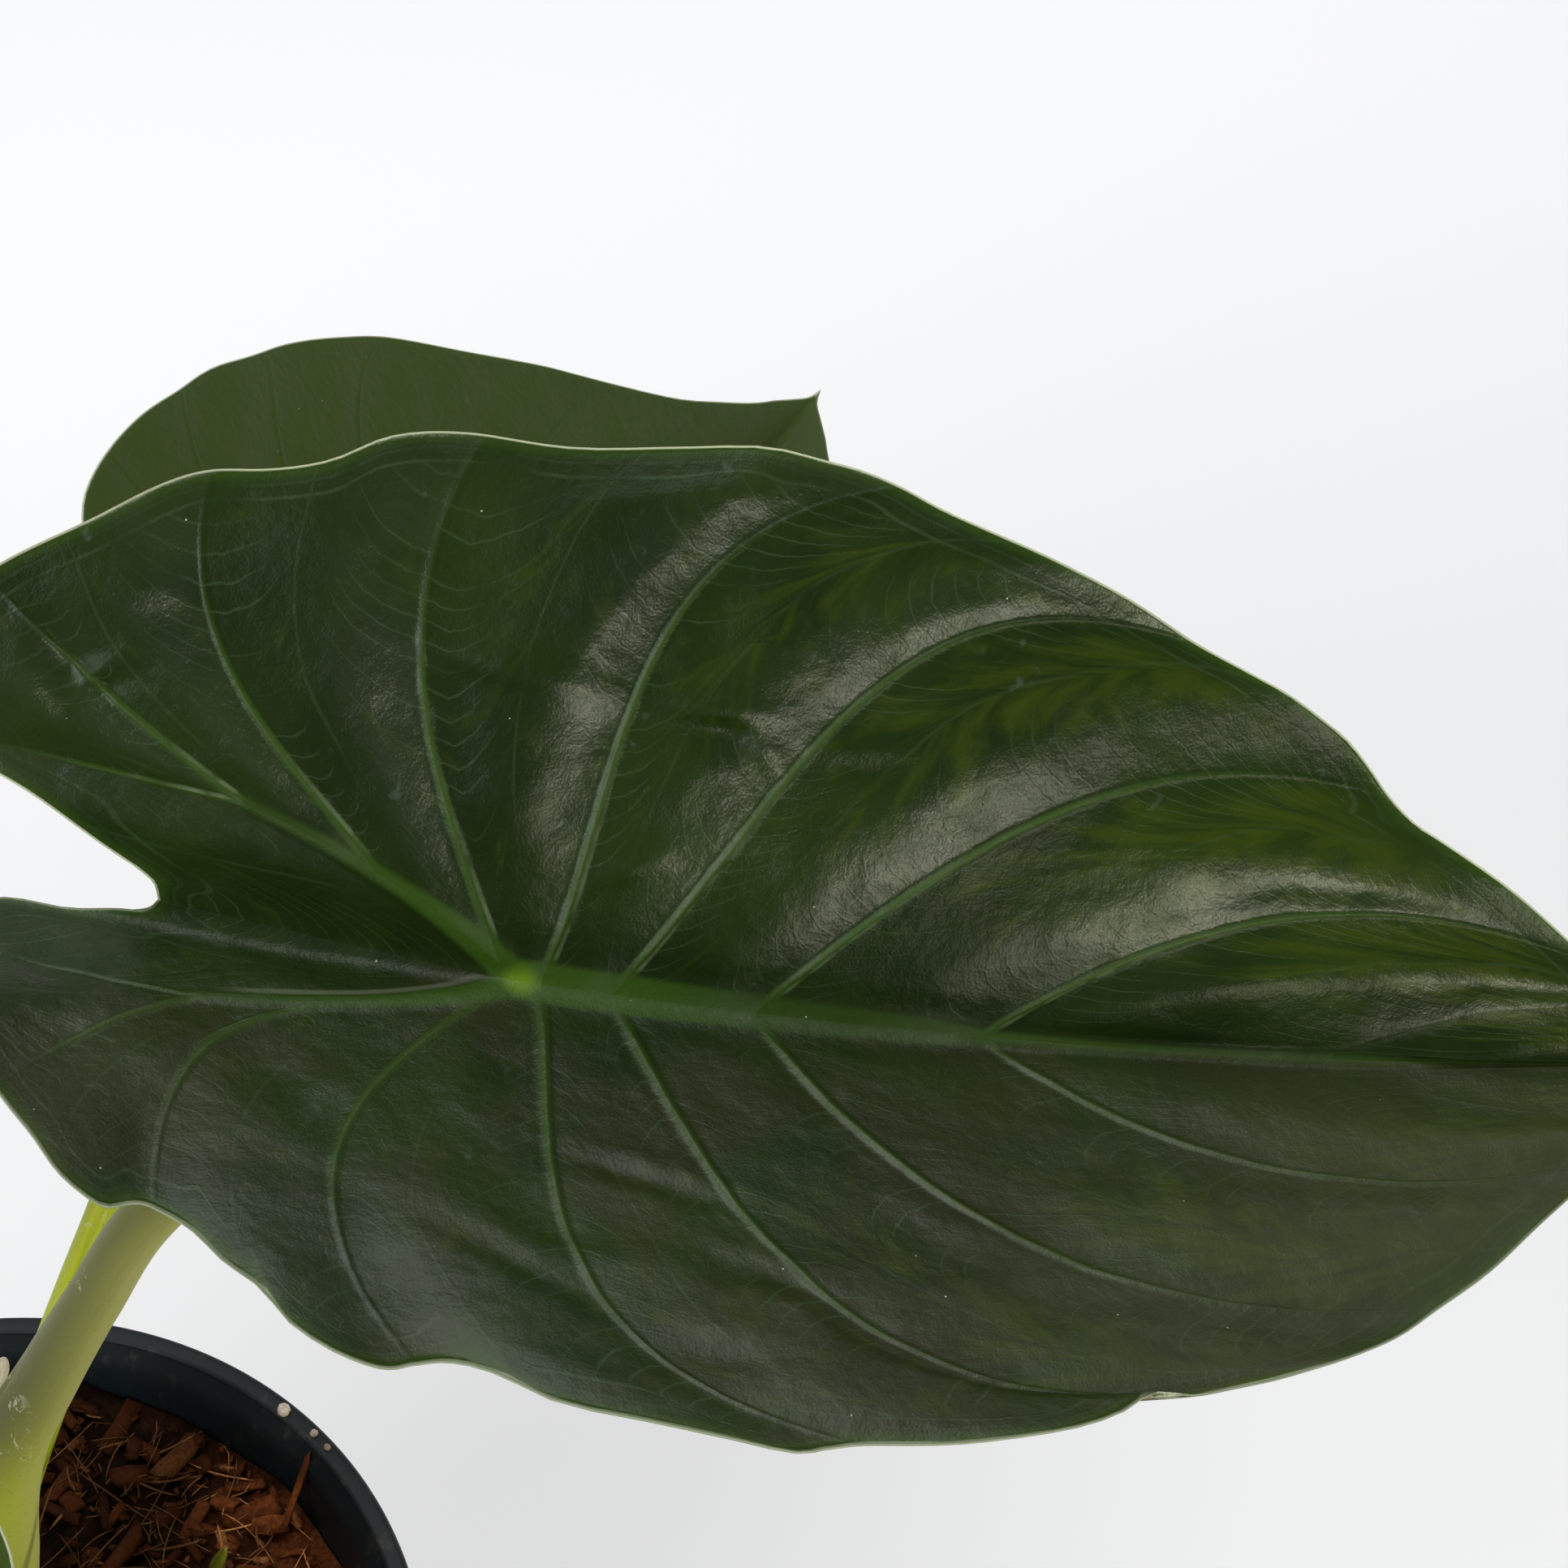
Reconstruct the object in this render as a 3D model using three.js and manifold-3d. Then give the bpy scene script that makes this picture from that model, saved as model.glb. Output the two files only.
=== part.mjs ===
// Potted Alocasia wentii: a nursery pot with its soil, a short corm, and four peltate leaves on
// sheathing petioles. Millimetres, +Z up, origin at the middle of the pot's foot.
import * as THREE from 'three';
import { mergeVertices } from 'three/addons/utils/BufferGeometryUtils.js';
import Module from 'manifold-3d';

const wasm = await Module();
wasm.setup();

// Pot: a 19 cm nursery pot
const POT_HEIGHT = 165;
const RIM_RADIUS = 95;
const RIM_BAND = 4.6;
const LIP_HEIGHT = 13;
const FOOT_RADIUS = 67;
const FOOT_WIDTH = 6;
const FOOT_RAISE = 4;
const FOOT_CHAMFER = 1.5;
const CENTRE_PAD_RADIUS = 13;
const EDGE_ROUND = 0.8;
const POT_WALL = 1.9;
const FLOOR_THICKNESS = 2.2;
const POT_SIDES = 44;
const DRAIN_HOLES = 6;
const DRAIN_RADIUS = 5;
const DRAIN_CIRCLE = 44;

// Soil: coir and bark, higher at the back left than at the front right
const SOIL_LEVEL = 149;
const SOIL_RISE_BACK = 5.5;
const SOIL_FALL_RIGHT = 9;
const SOIL_LUMP = 1.6;
const SOIL_RINGS = 6;
const CHIP_COUNT = 24;
const CHIP_SIZE = 7;
const CHIP_FIELD = [27, 75];
const CHIP_TILT = 0.9;
const CHIP_SUNK = 0.4;
const TURN_SHARE = 0.382;

// Clearance between neighbouring pieces
const GAP = 0.3;

// Crown: the corm that carries the petioles
const CORM_RADIUS = 9.5;
const CORM_FOOT = 112;
const CORM_TOP = 178;
const CORM_SIDES = 16;
const BUD_RADIUS = 3.2;
const BUD_LENGTH = 29;
const BASE_CIRCLE = 16;
const STEM_FOOT = 124;

// Leaf blade, measured flat on a full-size leaf
const BLADE_THICKNESS = 0.8;
const RIB_WIDTH = 5.2;
const RIB_CREST = 1.2;
const KEEL_DEPTH = 2.6;
const VEIN_CREST = 0.5;
const VEIN_KEEL = 1.1;
const VEIN_SHOULDER = 0.09;
const FOLD_HALF_WIDTH = 80;
const FOLD_SOFTNESS = 3;
const ATTACHMENT = 5.9;

// Stations run along each half blade's margin: 0 tip, 2 to 7 the main veins, 8 the back lobe's
// outer vein, 9 its inner vein, 10 the sinus. Each row: station, along the midrib, across it.
const MARGIN = {
  left: [
    [0, 200, 0], [0.25, 195.3, 1.6], [0.5, 191.3, 4.3], [1, 184, 9.5], [2, 172, 17.8],
    [2.5, 152.5, 31], [3, 132, 44.3], [3.5, 113, 58.3], [4, 95.3, 65.4], [4.5, 69.4, 75.2],
    [5, 44, 82.3], [5.4, 22, 85.3], [5.6, 8, 82.8], [5.8, -7, 80.2], [6.05, -24, 79.3],
    [6.3, -35, 76.6], [6.55, -43.5, 71.3], [6.8, -52, 68.2], [7, -60, 66.3], [7.5, -76, 55.5],
    [8, -88, 45], [8.5, -95, 33.4], [9, -91, 21.8], [9.5, -74, 14.3], [10, -53, 4.5],
  ],
  right: [
    [0, 200, 0], [0.25, 195.3, 1.5], [0.5, 191.3, 4.4], [1, 184, 10], [2, 171, 19],
    [2.5, 153, 34], [3, 132, 49.5], [3.5, 114, 62], [4, 96, 67.5], [4.25, 84, 70.5],
    [4.6, 66, 78.8], [5, 42, 81.5], [5.25, 33.5, 83.5], [5.5, 14, 81], [5.75, -4, 75.5],
    [6, -14, 73.8], [6.25, -20.5, 75.5], [6.5, -30, 71], [6.75, -39, 62.5], [7, -48.5, 54.5],
    [7.3, -55.5, 57.3], [7.6, -63, 52], [8, -71, 40], [8.5, -80, 26.5], [9, -82, 11],
    [9.3, -77, 2], [9.6, -66, 0.7], [10, -53, -4.5],
  ],
};

// How far each vein bows out of its chord, and how much more of that is near the margin
const VEIN_BOW = {
  left: [
    [0, 0, 0], [1, 0.08, 0], [2, 0.155, -0.01], [3, 0.163, 0.03], [4, 0.204, 0.1],
    [5, 0.18, 0.115], [6, 0.13, 0.06], [7, 0.12, 0.07], [8, 0.02, 0], [9, 0, 0], [10, 0, 0],
  ],
  right: [
    [0, 0, 0], [1, 0.08, 0], [2, 0.159, -0.02], [3, 0.199, 0], [4, 0.244, 0.09],
    [5, 0.207, 0.11], [6, 0.22, 0.06], [7, 0.21, -0.03], [8, 0.06, 0], [9, -0.03, 0], [10, 0, 0],
  ],
};

// Where each row of the blade starts: millimetres along the midrib, or below zero the share of
// the back rib's length
const ROW_START = [
  [0, 200], [1, 128], [2, 72], [3, 36], [4, 14], [5, 3], [ATTACHMENT, 0], [6, -0.1],
  [7, -0.6], [8, -1], [9, -1], [10, 0],
];
const BACK_RIB = {
  left: [[-17, 13.5], [-45, 20.5]],
  right: [[-15, 9.5], [-46, 14]],
};

// Height of the quilted swelling between the veins
const QUILT_HEIGHT = [[0, 0], [1.5, 1.6], [2.5, 2.1], [4.5, 2.3], [6.5, 1.8], [8.5, 0.9], [10, 0.3]];

// Each leaf: where its petiole joins the blade, the midrib's azimuth and pitch, the roll, the
// midrib's curvature up and to the left in degrees per 100 mm, the slope of the left and the
// right half beside the midrib and at the margin, the size, and the waves of the margin
const LEAVES = [
  {
    name: 'leaf_1', joint: [126.8, 0.4, 389.8], azimuth: 2.5, pitch: -16, roll: 0,
    lift: 3, turn: 3.5, fold: [70, 44, 10, 6], size: 1, wave: 0.9, phase: 0, fine: true,
  },
  {
    name: 'leaf_2', joint: [80, 175, 277.5], azimuth: 48.8, pitch: -32.1, roll: 20.4,
    lift: 12.8, turn: 15.8, fold: [42, 20, 27, 10], size: 0.9, wave: 1, phase: 2.1, fine: false,
  },
  {
    name: 'leaf_3', joint: [0.3, -110, 304], azimuth: 250, pitch: -24, roll: -6,
    lift: -9, turn: -4, fold: [34, 20, 30, 16], size: 0.8, wave: 1.3, phase: 3.4, fine: false,
  },
  {
    name: 'leaf_4', joint: [-108, 78, 338], azimuth: 148, pitch: -30, roll: 8,
    lift: -7, turn: 5, fold: [38, 18, 34, 12], size: 0.94, wave: 1.4, phase: 5.1, fine: false,
  },
];

// Each petiole's route from the soil to its blade, and its half widths: in the plane that it
// leans in, and across that plane
const PETIOLES = [
  {
    name: 'petiole_1', leaf: 0,
    route: [
      [16, 0, STEM_FOOT], [17, 0, 172], [20.7, 0, 222], [29.3, 0, 262], [39.8, 0, 285.5],
      [51.5, 0, 309], [63.9, 0, 332], [92, 0.2, 363],
    ],
    widths: [
      [0, 5.4, 7.2], [0.17, 6, 7.6], [0.35, 7.3, 7.4], [0.5, 6, 6.2], [0.62, 5, 5], [0.8, 4.3, 4.4],
      [1, 4.2, 4.6],
    ],
  },
  {
    name: 'petiole_2', leaf: 1,
    route: [
      [-2, BASE_CIRCLE, STEM_FOOT], [4, 32, 170], [22.5, 58, 213], [34, 74, 237], [48, 104, 260],
      [63, 138, 272],
    ],
    widths: [[0, 5.2, 6], [0.25, 6, 6.2], [0.5, 4.7, 4.8], [0.8, 4.2, 4.3], [1, 4, 4.4]],
  },
  {
    name: 'petiole_3', leaf: 2,
    route: [
      [-5, -15.2, STEM_FOOT], [-5.5, -21, 190], [-5, -44, 250], [-3.5, -77, 287],
    ],
    widths: [[0, 5.2, 6.4], [0.3, 6, 6.6], [0.55, 4.6, 4.8], [0.8, 4, 4], [1, 3.8, 4]],
  },
  {
    name: 'petiole_4', leaf: 3,
    route: [
      [-14, 7.6, STEM_FOOT], [-20, 12, 190], [-42, 29, 258], [-74, 53, 308],
    ],
    widths: [[0, 5.4, 6.6], [0.3, 6.2, 6.8], [0.55, 4.8, 5], [0.8, 4.2, 4.3], [1, 4, 4.4]],
  },
];
const PETIOLE_SIDES = 10;
const PETIOLE_STEPS = 15;
const KEEL_REACH = 2.4;

// Dry sheath beside the first petiole, and a young shoot in the soil
const SHEATH_ROUTE = [
  [11.2, 11.2, STEM_FOOT], [10.5, 15, 180], [13, 19, 225], [19, 21, 248], [25, 20.5, 260],
];
const SHEATH_WIDTHS = [[0, 3.2, 3.4], [0.5, 3.6, 4.6], [0.85, 3, 4.4], [1, 1.6, 2.2]];
const SHOOT_ROUTE = [[45, 44, 130], [46, 44, 146], [49, 43.5, 155]];
const SHOOT_WIDTHS = [[0, 2, 2], [0.6, 1.9, 1.9], [1, 0.8, 0.8]];
const SMALL_STEM_SIDES = 8;
const SHEATH_STEPS = 9;
const SHOOT_STEPS = 5;

const MATERIALS = {
  pot: new THREE.MeshStandardMaterial({ color: 0x20282d, roughness: 0.45, metalness: 0 }),
  soil: new THREE.MeshStandardMaterial({ color: 0x3a1f14, roughness: 0.95, metalness: 0 }),
  blade: new THREE.MeshStandardMaterial({ color: 0x1f3618, roughness: 0.4, metalness: 0 }),
  stem: new THREE.MeshStandardMaterial({ color: 0x9bab66, roughness: 0.5, metalness: 0 }),
  corm: new THREE.MeshStandardMaterial({ color: 0x8c9a5a, roughness: 0.6, metalness: 0 }),
  sheath: new THREE.MeshStandardMaterial({ color: 0xc9a58a, roughness: 0.8, metalness: 0 }),
  shoot: new THREE.MeshStandardMaterial({ color: 0x7fa04a, roughness: 0.5, metalness: 0 }),
};

const radians = THREE.MathUtils.degToRad;
const vector = (point) => new THREE.Vector3(...point);

// Index of the table row that a key falls after
function rowBefore(table, key) {
  let row = 0;
  while (row < table.length - 2 && key >= table[row + 1][0]) row += 1;
  return row;
}

// Value between the rows of a table, along straight lines
function straight(table, key) {
  const row = rowBefore(table, key);
  const [low, high] = [table[row], table[row + 1]];
  const share = THREE.MathUtils.clamp((key - low[0]) / (high[0] - low[0]), 0, 1);
  return low.slice(1).map((value, i) => value + (high[i + 1] - value) * share);
}

// Value between the rows of a table, along a smooth curve through them
function smooth(table, key) {
  const row = rowBefore(table, key);
  const [low, high] = [table[row], table[row + 1]];
  const span = high[0] - low[0];
  const x = (key - low[0]) / span;
  const slope = (at, i) => {
    const here = table[at];
    const before = table[Math.max(at - 1, 0)];
    const after = table[Math.min(at + 1, table.length - 1)];
    const [stepBack, stepOn] = [here[0] - before[0], after[0] - here[0]];
    if (stepBack === 0) return (after[i] - here[i]) / stepOn;
    if (stepOn === 0) return (here[i] - before[i]) / stepBack;
    const [back, on] = [(here[i] - before[i]) / stepBack, (after[i] - here[i]) / stepOn];
    return (back * stepOn + on * stepBack) / (stepBack + stepOn);
  };
  return low.slice(1).map((value, j) => {
    const i = j + 1;
    return value * (2 * x ** 3 - 3 * x ** 2 + 1) + slope(row, i) * span * (x ** 3 - 2 * x ** 2 + x)
      + high[i] * (3 * x ** 2 - 2 * x ** 3) + slope(row + 1, i) * span * (x ** 3 - x ** 2);
  });
}

// A closed skin: points are shared where they coincide, and flat triangles are dropped
class Skin {
  constructor() {
    this.places = new Map();
    this.positions = [];
    this.triangles = [];
  }

  point(p) {
    const key = [p.x, p.y, p.z].map((value) => Math.round(value * 500)).join();
    if (!this.places.has(key)) {
      this.places.set(key, this.positions.length / 3);
      this.positions.push(p.x, p.y, p.z);
    }
    return this.places.get(key);
  }

  triangle(a, b, c) {
    if (a !== b && b !== c && c !== a) this.triangles.push(a, b, c);
  }

  quad(a, b, c, d, flip = false) {
    if (flip) {
      this.triangle(a, c, b);
      this.triangle(a, d, c);
    } else {
      this.triangle(a, b, c);
      this.triangle(a, c, d);
    }
  }

  geometry() {
    const geometry = new THREE.BufferGeometry();
    geometry.setAttribute('position', new THREE.Float32BufferAttribute(this.positions, 3));
    geometry.setIndex(this.triangles);
    return geometry;
  }
}

// Solid for cutting and joining, and the way back
function solid(geometry) {
  const bare = geometry.clone();
  bare.deleteAttribute('normal');
  bare.deleteAttribute('uv');
  const merged = mergeVertices(bare, 1e-4);
  return new wasm.Manifold(new wasm.Mesh({
    numProp: 3,
    vertProperties: new Float32Array(merged.attributes.position.array),
    triVerts: new Uint32Array(merged.index.array),
  }));
}

function geometryOf(manifold) {
  const mesh = manifold.getMesh();
  const geometry = new THREE.BufferGeometry();
  geometry.setAttribute('position', new THREE.Float32BufferAttribute(mesh.vertProperties, 3));
  geometry.setIndex(Array.from(mesh.triVerts));
  return geometry;
}

// Start of a blade's row: on the midrib, or on the back rib, which is a quadratic curve
function rowStart(side, station) {
  const [along] = straight(ROW_START, station);
  if (along >= 0) return [along, 0];
  const [bend, end] = BACK_RIB[side];
  return [0, 1].map((i) => -2 * along * (1 + along) * bend[i] + along * along * end[i]);
}

// Row of the flat blade: a bowed curve from the rib to the margin
function flatRow(side, station) {
  const start = rowStart(side, station);
  const end = smooth(MARGIN[side], station);
  const [bow, skew] = straight(VEIN_BOW[side], station);
  const chord = [end[0] - start[0], end[1] - start[1]];
  return {
    length: Math.hypot(...chord),
    at(share) {
      const out = 4 * share * (1 - share) * (bow + skew * (2 * share - 1));
      return [start[0] + chord[0] * share - chord[1] * out, start[1] + chord[1] * share + chord[0] * out];
    },
  };
}

// Across the blade: how far out and how far up a point lies, from the summed slope of the folded
// halves, which turns softly over the midrib
function crossSection([leftInner, leftOuter, rightInner, rightOuter]) {
  const REACH = 130;
  const slopeAt = (across) => {
    const outward = Math.abs(across) / FOLD_HALF_WIDTH;
    const left = leftInner + (leftOuter - leftInner) * outward;
    const right = -(rightInner + (rightOuter - rightInner) * outward);
    const x = THREE.MathUtils.clamp((across / FOLD_SOFTNESS + 1) / 2, 0, 1);
    return radians(right + (left - right) * x * x * (3 - 2 * x));
  };
  const sums = [[0, 0]];
  for (const way of [1, -1]) {
    let [out, up] = [0, 0];
    for (let step = 1; step <= REACH; step += 1) {
      const slope = slopeAt(way * (step - 0.5));
      out += way * Math.cos(slope);
      up += way * Math.sin(slope);
      sums[way * step] = [out, up];
    }
  }
  return (across) => {
    const low = Math.floor(across);
    const share = across - low;
    const [a, b] = [sums[low], sums[low + 1]];
    return {
      out: a[0] + (b[0] - a[0]) * share,
      up: a[1] + (b[1] - a[1]) * share,
      slope: slopeAt(across),
    };
  };
}

// Places a point of the flat blade in space: the midrib is a gently bent line, and each half
// rises from it
function bladePlacer(leaf) {
  const [azimuth, pitch, roll] = [leaf.azimuth, leaf.pitch, leaf.roll].map(radians);
  const ahead = new THREE.Vector3(
    Math.cos(pitch) * Math.cos(azimuth), Math.cos(pitch) * Math.sin(azimuth), Math.sin(pitch),
  );
  const leftward = new THREE.Vector3(-Math.sin(azimuth), Math.cos(azimuth), 0);
  const upward = new THREE.Vector3().crossVectors(ahead, leftward);
  leftward.multiplyScalar(Math.cos(roll)).addScaledVector(upward, Math.sin(roll));
  upward.crossVectors(ahead, leftward);
  const curve = upward.clone().multiplyScalar(radians(leaf.lift) / 100)
    .addScaledVector(leftward, radians(leaf.turn) / 100);
  const section = crossSection(leaf.fold);
  return ([along, across], lift) => {
    const t = ahead.clone().addScaledVector(curve, along).normalize();
    const b = leftward.clone().addScaledVector(t, -t.dot(leftward)).normalize();
    const n = new THREE.Vector3().crossVectors(t, b);
    const { out, up, slope } = section(across);
    return ahead.clone().multiplyScalar(along)
      .addScaledVector(curve, along * along / 2)
      .addScaledVector(b, out - lift * Math.sin(slope))
      .addScaledVector(n, up + lift * Math.cos(slope))
      .multiplyScalar(leaf.size)
      .add(vector(leaf.joint));
  };
}

// Stations of a blade's rows: the veins, their shoulders and the swellings between them. The rows
// inside the back lobe start at the same points of the rib as those outside it.
function bladeStations(fine) {
  const shoulders = [VEIN_SHOULDER, 1 - VEIN_SHOULDER];
  const frontShares = fine ? [shoulders[0], 0.36, 0.64, shoulders[1]] : [shoulders[0], 0.5, shoulders[1]];
  const backShares = fine ? [shoulders[0], 0.5, shoulders[1]] : [0.5];
  const outer = fine ? [0, 0.25, 0.55, 1, 1.5, 2 - VEIN_SHOULDER] : [0, 0.4, 1, 2 - VEIN_SHOULDER];
  for (let vein = 2; vein < 8; vein += 1) {
    const shares = vein < 6 ? frontShares : backShares;
    outer.push(vein, ...shares.map((share) => Math.min(vein + share, vein === 5 ? ATTACHMENT : 8)));
  }
  const inner = outer.filter((station) => station > ATTACHMENT)
    .map((station) => 10 + straight(ROW_START, station)[0]).reverse();
  return [...outer, 8, 8.5, 9, ...inner, 10];
}

// Closed blade: an upper and a lower sheet over the same grid, joined round the margin
function bladeGeometry(leaf, grow = 0) {
  const place = bladePlacer(leaf);
  const stations = bladeStations(leaf.fine);
  const columns = leaf.fine ? 8 : 6;
  const skin = new Skin();
  for (const side of ['left', 'right']) {
    const sign = side === 'left' ? 1 : -1;
    const upper = [];
    const lower = [];
    for (const station of stations) {
      const row = flatRow(side, station);
      const [along] = straight(ROW_START, station);
      const taper = along >= 0 ? 1 - 0.75 * along / 200 : 1 + 0.5 * along;
      const isVein = Number.isInteger(station) && station > 1 && station < 10;
      const ribShare = Math.min(RIB_WIDTH / 2 * taper / Math.max(row.length, 1), 0.3);
      const [quilt] = straight(QUILT_HEIGHT, station);
      const wave = leaf.wave * -Math.cos(2 * Math.PI * station + 0.6 * leaf.phase)
        + 1.6 * leaf.wave * Math.sin(1.7 * station + leaf.phase);
      const ends = Math.min(1, station, 10 - station);
      upper.push([]);
      lower.push([]);
      for (let column = 0; column <= columns; column += 1) {
        const even = (column - 1) / (columns - 1);
        const share = column === 0 ? 0 : ribShare + (1 - ribShare) * even ** 0.9;
        const onRib = column === 0 ? taper : 0;
        const onVein = isVein && column > 0 ? 1 - share : 0;
        const swell = quilt * Math.sin(Math.PI * station) ** 2 * Math.sin(Math.PI * share ** 0.8) ** 0.8;
        const crest = RIB_CREST * onRib + VEIN_CREST * onVein + (column > 0 ? swell : 0)
          + wave * ends * share ** 3;
        const depth = BLADE_THICKNESS + KEEL_DEPTH * onRib + VEIN_KEEL * onVein;
        const [u, v] = row.at(share);
        upper.at(-1).push(skin.point(place([u, sign * v], crest + grow)));
        lower.at(-1).push(skin.point(place([u, sign * v], crest - RIB_CREST * onRib - depth - grow)));
      }
    }
    for (let r = 0; r < stations.length - 1; r += 1) {
      for (let c = 0; c < columns; c += 1) {
        skin.quad(upper[r][c], upper[r + 1][c], upper[r + 1][c + 1], upper[r][c + 1], sign > 0);
        skin.quad(lower[r][c], lower[r + 1][c], lower[r + 1][c + 1], lower[r][c + 1], sign < 0);
      }
      const edge = columns;
      skin.quad(upper[r][edge], upper[r + 1][edge], lower[r + 1][edge], lower[r][edge], sign > 0);
    }
  }
  return skin.geometry();
}

// Closed tube along a smooth route, with oval sections that keep one axis in the plane of the
// route's lean, and with rounded-off ends where asked
function stemGeometry(route, widths, sides, steps, grow = 0) {
  const curve = new THREE.CatmullRomCurve3(route.map(vector), false, 'centripetal');
  const lean = vector(route.at(-1)).sub(vector(route[0])).setZ(0).normalize();
  const across = new THREE.Vector3(-lean.y, lean.x, 0);
  const skin = new Skin();
  const rings = [];
  for (let step = 0; step <= steps; step += 1) {
    const share = step / steps;
    const centre = curve.getPointAt(share);
    const ahead = curve.getTangentAt(share);
    if (step === 0) centre.addScaledVector(ahead, -grow);
    const b = across.clone().addScaledVector(ahead, -ahead.dot(across)).normalize();
    const n = new THREE.Vector3().crossVectors(b, ahead);
    const [inPlane, outOfPlane] = straight(widths, share);
    const ring = [];
    for (let side = 0; side < sides; side += 1) {
      const angle = 2 * Math.PI * side / sides;
      ring.push(skin.point(centre.clone()
        .addScaledVector(n, (inPlane + grow) * Math.cos(angle))
        .addScaledVector(b, (outOfPlane + grow) * Math.sin(angle))));
    }
    rings.push(ring);
  }
  for (let step = 0; step < steps; step += 1) {
    for (let side = 0; side < sides; side += 1) {
      const next = (side + 1) % sides;
      skin.quad(rings[step][side], rings[step][next], rings[step + 1][next], rings[step + 1][side]);
    }
  }
  for (let side = 1; side < sides - 1; side += 1) {
    skin.triangle(rings[0][0], rings[0][side + 1], rings[0][side]);
    skin.triangle(rings[steps][0], rings[steps][side], rings[steps][side + 1]);
  }
  return skin.geometry();
}

// Tube of a petiole, which reaches into the keel under its blade's attachment
function petioleTube(petiole, grow = 0) {
  const keel = bladePlacer(LEAVES[petiole.leaf])([0, 0], -KEEL_REACH).toArray();
  return stemGeometry([...petiole.route, keel], petiole.widths, PETIOLE_SIDES, PETIOLE_STEPS, grow);
}

// Petiole: the blade and its clearance are cut away from the tube, and the stem below them is kept
function petioleGeometry(petiole) {
  const leaf = LEAVES[petiole.leaf];
  const blade = solid(bladeGeometry(leaf));
  const back = vector(petiole.route.at(-1)).sub(vector(leaf.joint)).setLength(GAP);
  const cut = solid(petioleTube(petiole))
    .subtract(solid(bladeGeometry(leaf, GAP)))
    .subtract(blade.translate(back.toArray()))
    .subtract(blade);
  const largest = cut.decompose().sort((a, b) => b.volume() - a.volume())[0];
  return geometryOf(largest);
}

// Pot wall radius inside, at a height
const wallSlope = (RIM_RADIUS - RIM_BAND - FOOT_RADIUS) / POT_HEIGHT;
const innerRadius = (height) => FOOT_RADIUS - POT_WALL + wallSlope * height;

// Pot: it stands on a ring at its foot and on a pad in the middle, and its rim is a turned-out lip
function potGeometry() {
  const lipFoot = POT_HEIGHT - LIP_HEIGHT;
  const floorTop = FOOT_RAISE + FLOOR_THICKNESS;
  const outer = (height) => innerRadius(height) + POT_WALL;
  const profile = [
    [0, 0], [CENTRE_PAD_RADIUS, 0], [CENTRE_PAD_RADIUS + FOOT_CHAMFER, FOOT_RAISE],
    [FOOT_RADIUS - FOOT_WIDTH - FOOT_CHAMFER, FOOT_RAISE], [FOOT_RADIUS - FOOT_WIDTH, 0],
    [FOOT_RADIUS - EDGE_ROUND, 0], [outer(2 * EDGE_ROUND), 2 * EDGE_ROUND], [outer(lipFoot), lipFoot],
    [RIM_RADIUS - EDGE_ROUND, lipFoot + EDGE_ROUND], [RIM_RADIUS, lipFoot + 3 * EDGE_ROUND],
    [RIM_RADIUS, POT_HEIGHT - 1.5 * EDGE_ROUND], [RIM_RADIUS - 1.5 * EDGE_ROUND, POT_HEIGHT],
    [RIM_RADIUS - RIM_BAND + EDGE_ROUND, POT_HEIGHT],
    [innerRadius(POT_HEIGHT - 2 * EDGE_ROUND), POT_HEIGHT - 2 * EDGE_ROUND],
    [innerRadius(floorTop), floorTop], [0, floorTop],
  ].map(([radius, height]) => new THREE.Vector2(radius, height));
  const body = new THREE.LatheGeometry(profile, POT_SIDES).rotateX(Math.PI / 2);
  let pot = solid(body);
  for (let hole = 0; hole < DRAIN_HOLES; hole += 1) {
    const angle = 2 * Math.PI * hole / DRAIN_HOLES;
    const bore = new THREE.CylinderGeometry(DRAIN_RADIUS, DRAIN_RADIUS, 4 * FLOOR_THICKNESS, 8)
      .rotateX(Math.PI / 2)
      .translate(DRAIN_CIRCLE * Math.cos(angle), DRAIN_CIRCLE * Math.sin(angle), FOOT_RAISE);
    pot = pot.subtract(solid(bore));
  }
  return geometryOf(pot);
}

// Height of the soil: a tilted plane with soft lumps
function soilHeight(x, y) {
  const lumps = Math.sin(x / 9 + 1.3) * Math.cos(y / 11 + 0.4) + 0.6 * Math.sin(x / 5.3 - y / 6.7);
  return SOIL_LEVEL + SOIL_RISE_BACK * y / 85 - SOIL_FALL_RIGHT * x / 85 + SOIL_LUMP * lumps;
}

// Repeatable random numbers from 0 to 1
function randomNumbers(seed) {
  let state = seed;
  return () => {
    state = (state * 16807) % 2147483647;
    return state / 2147483647;
  };
}

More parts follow.
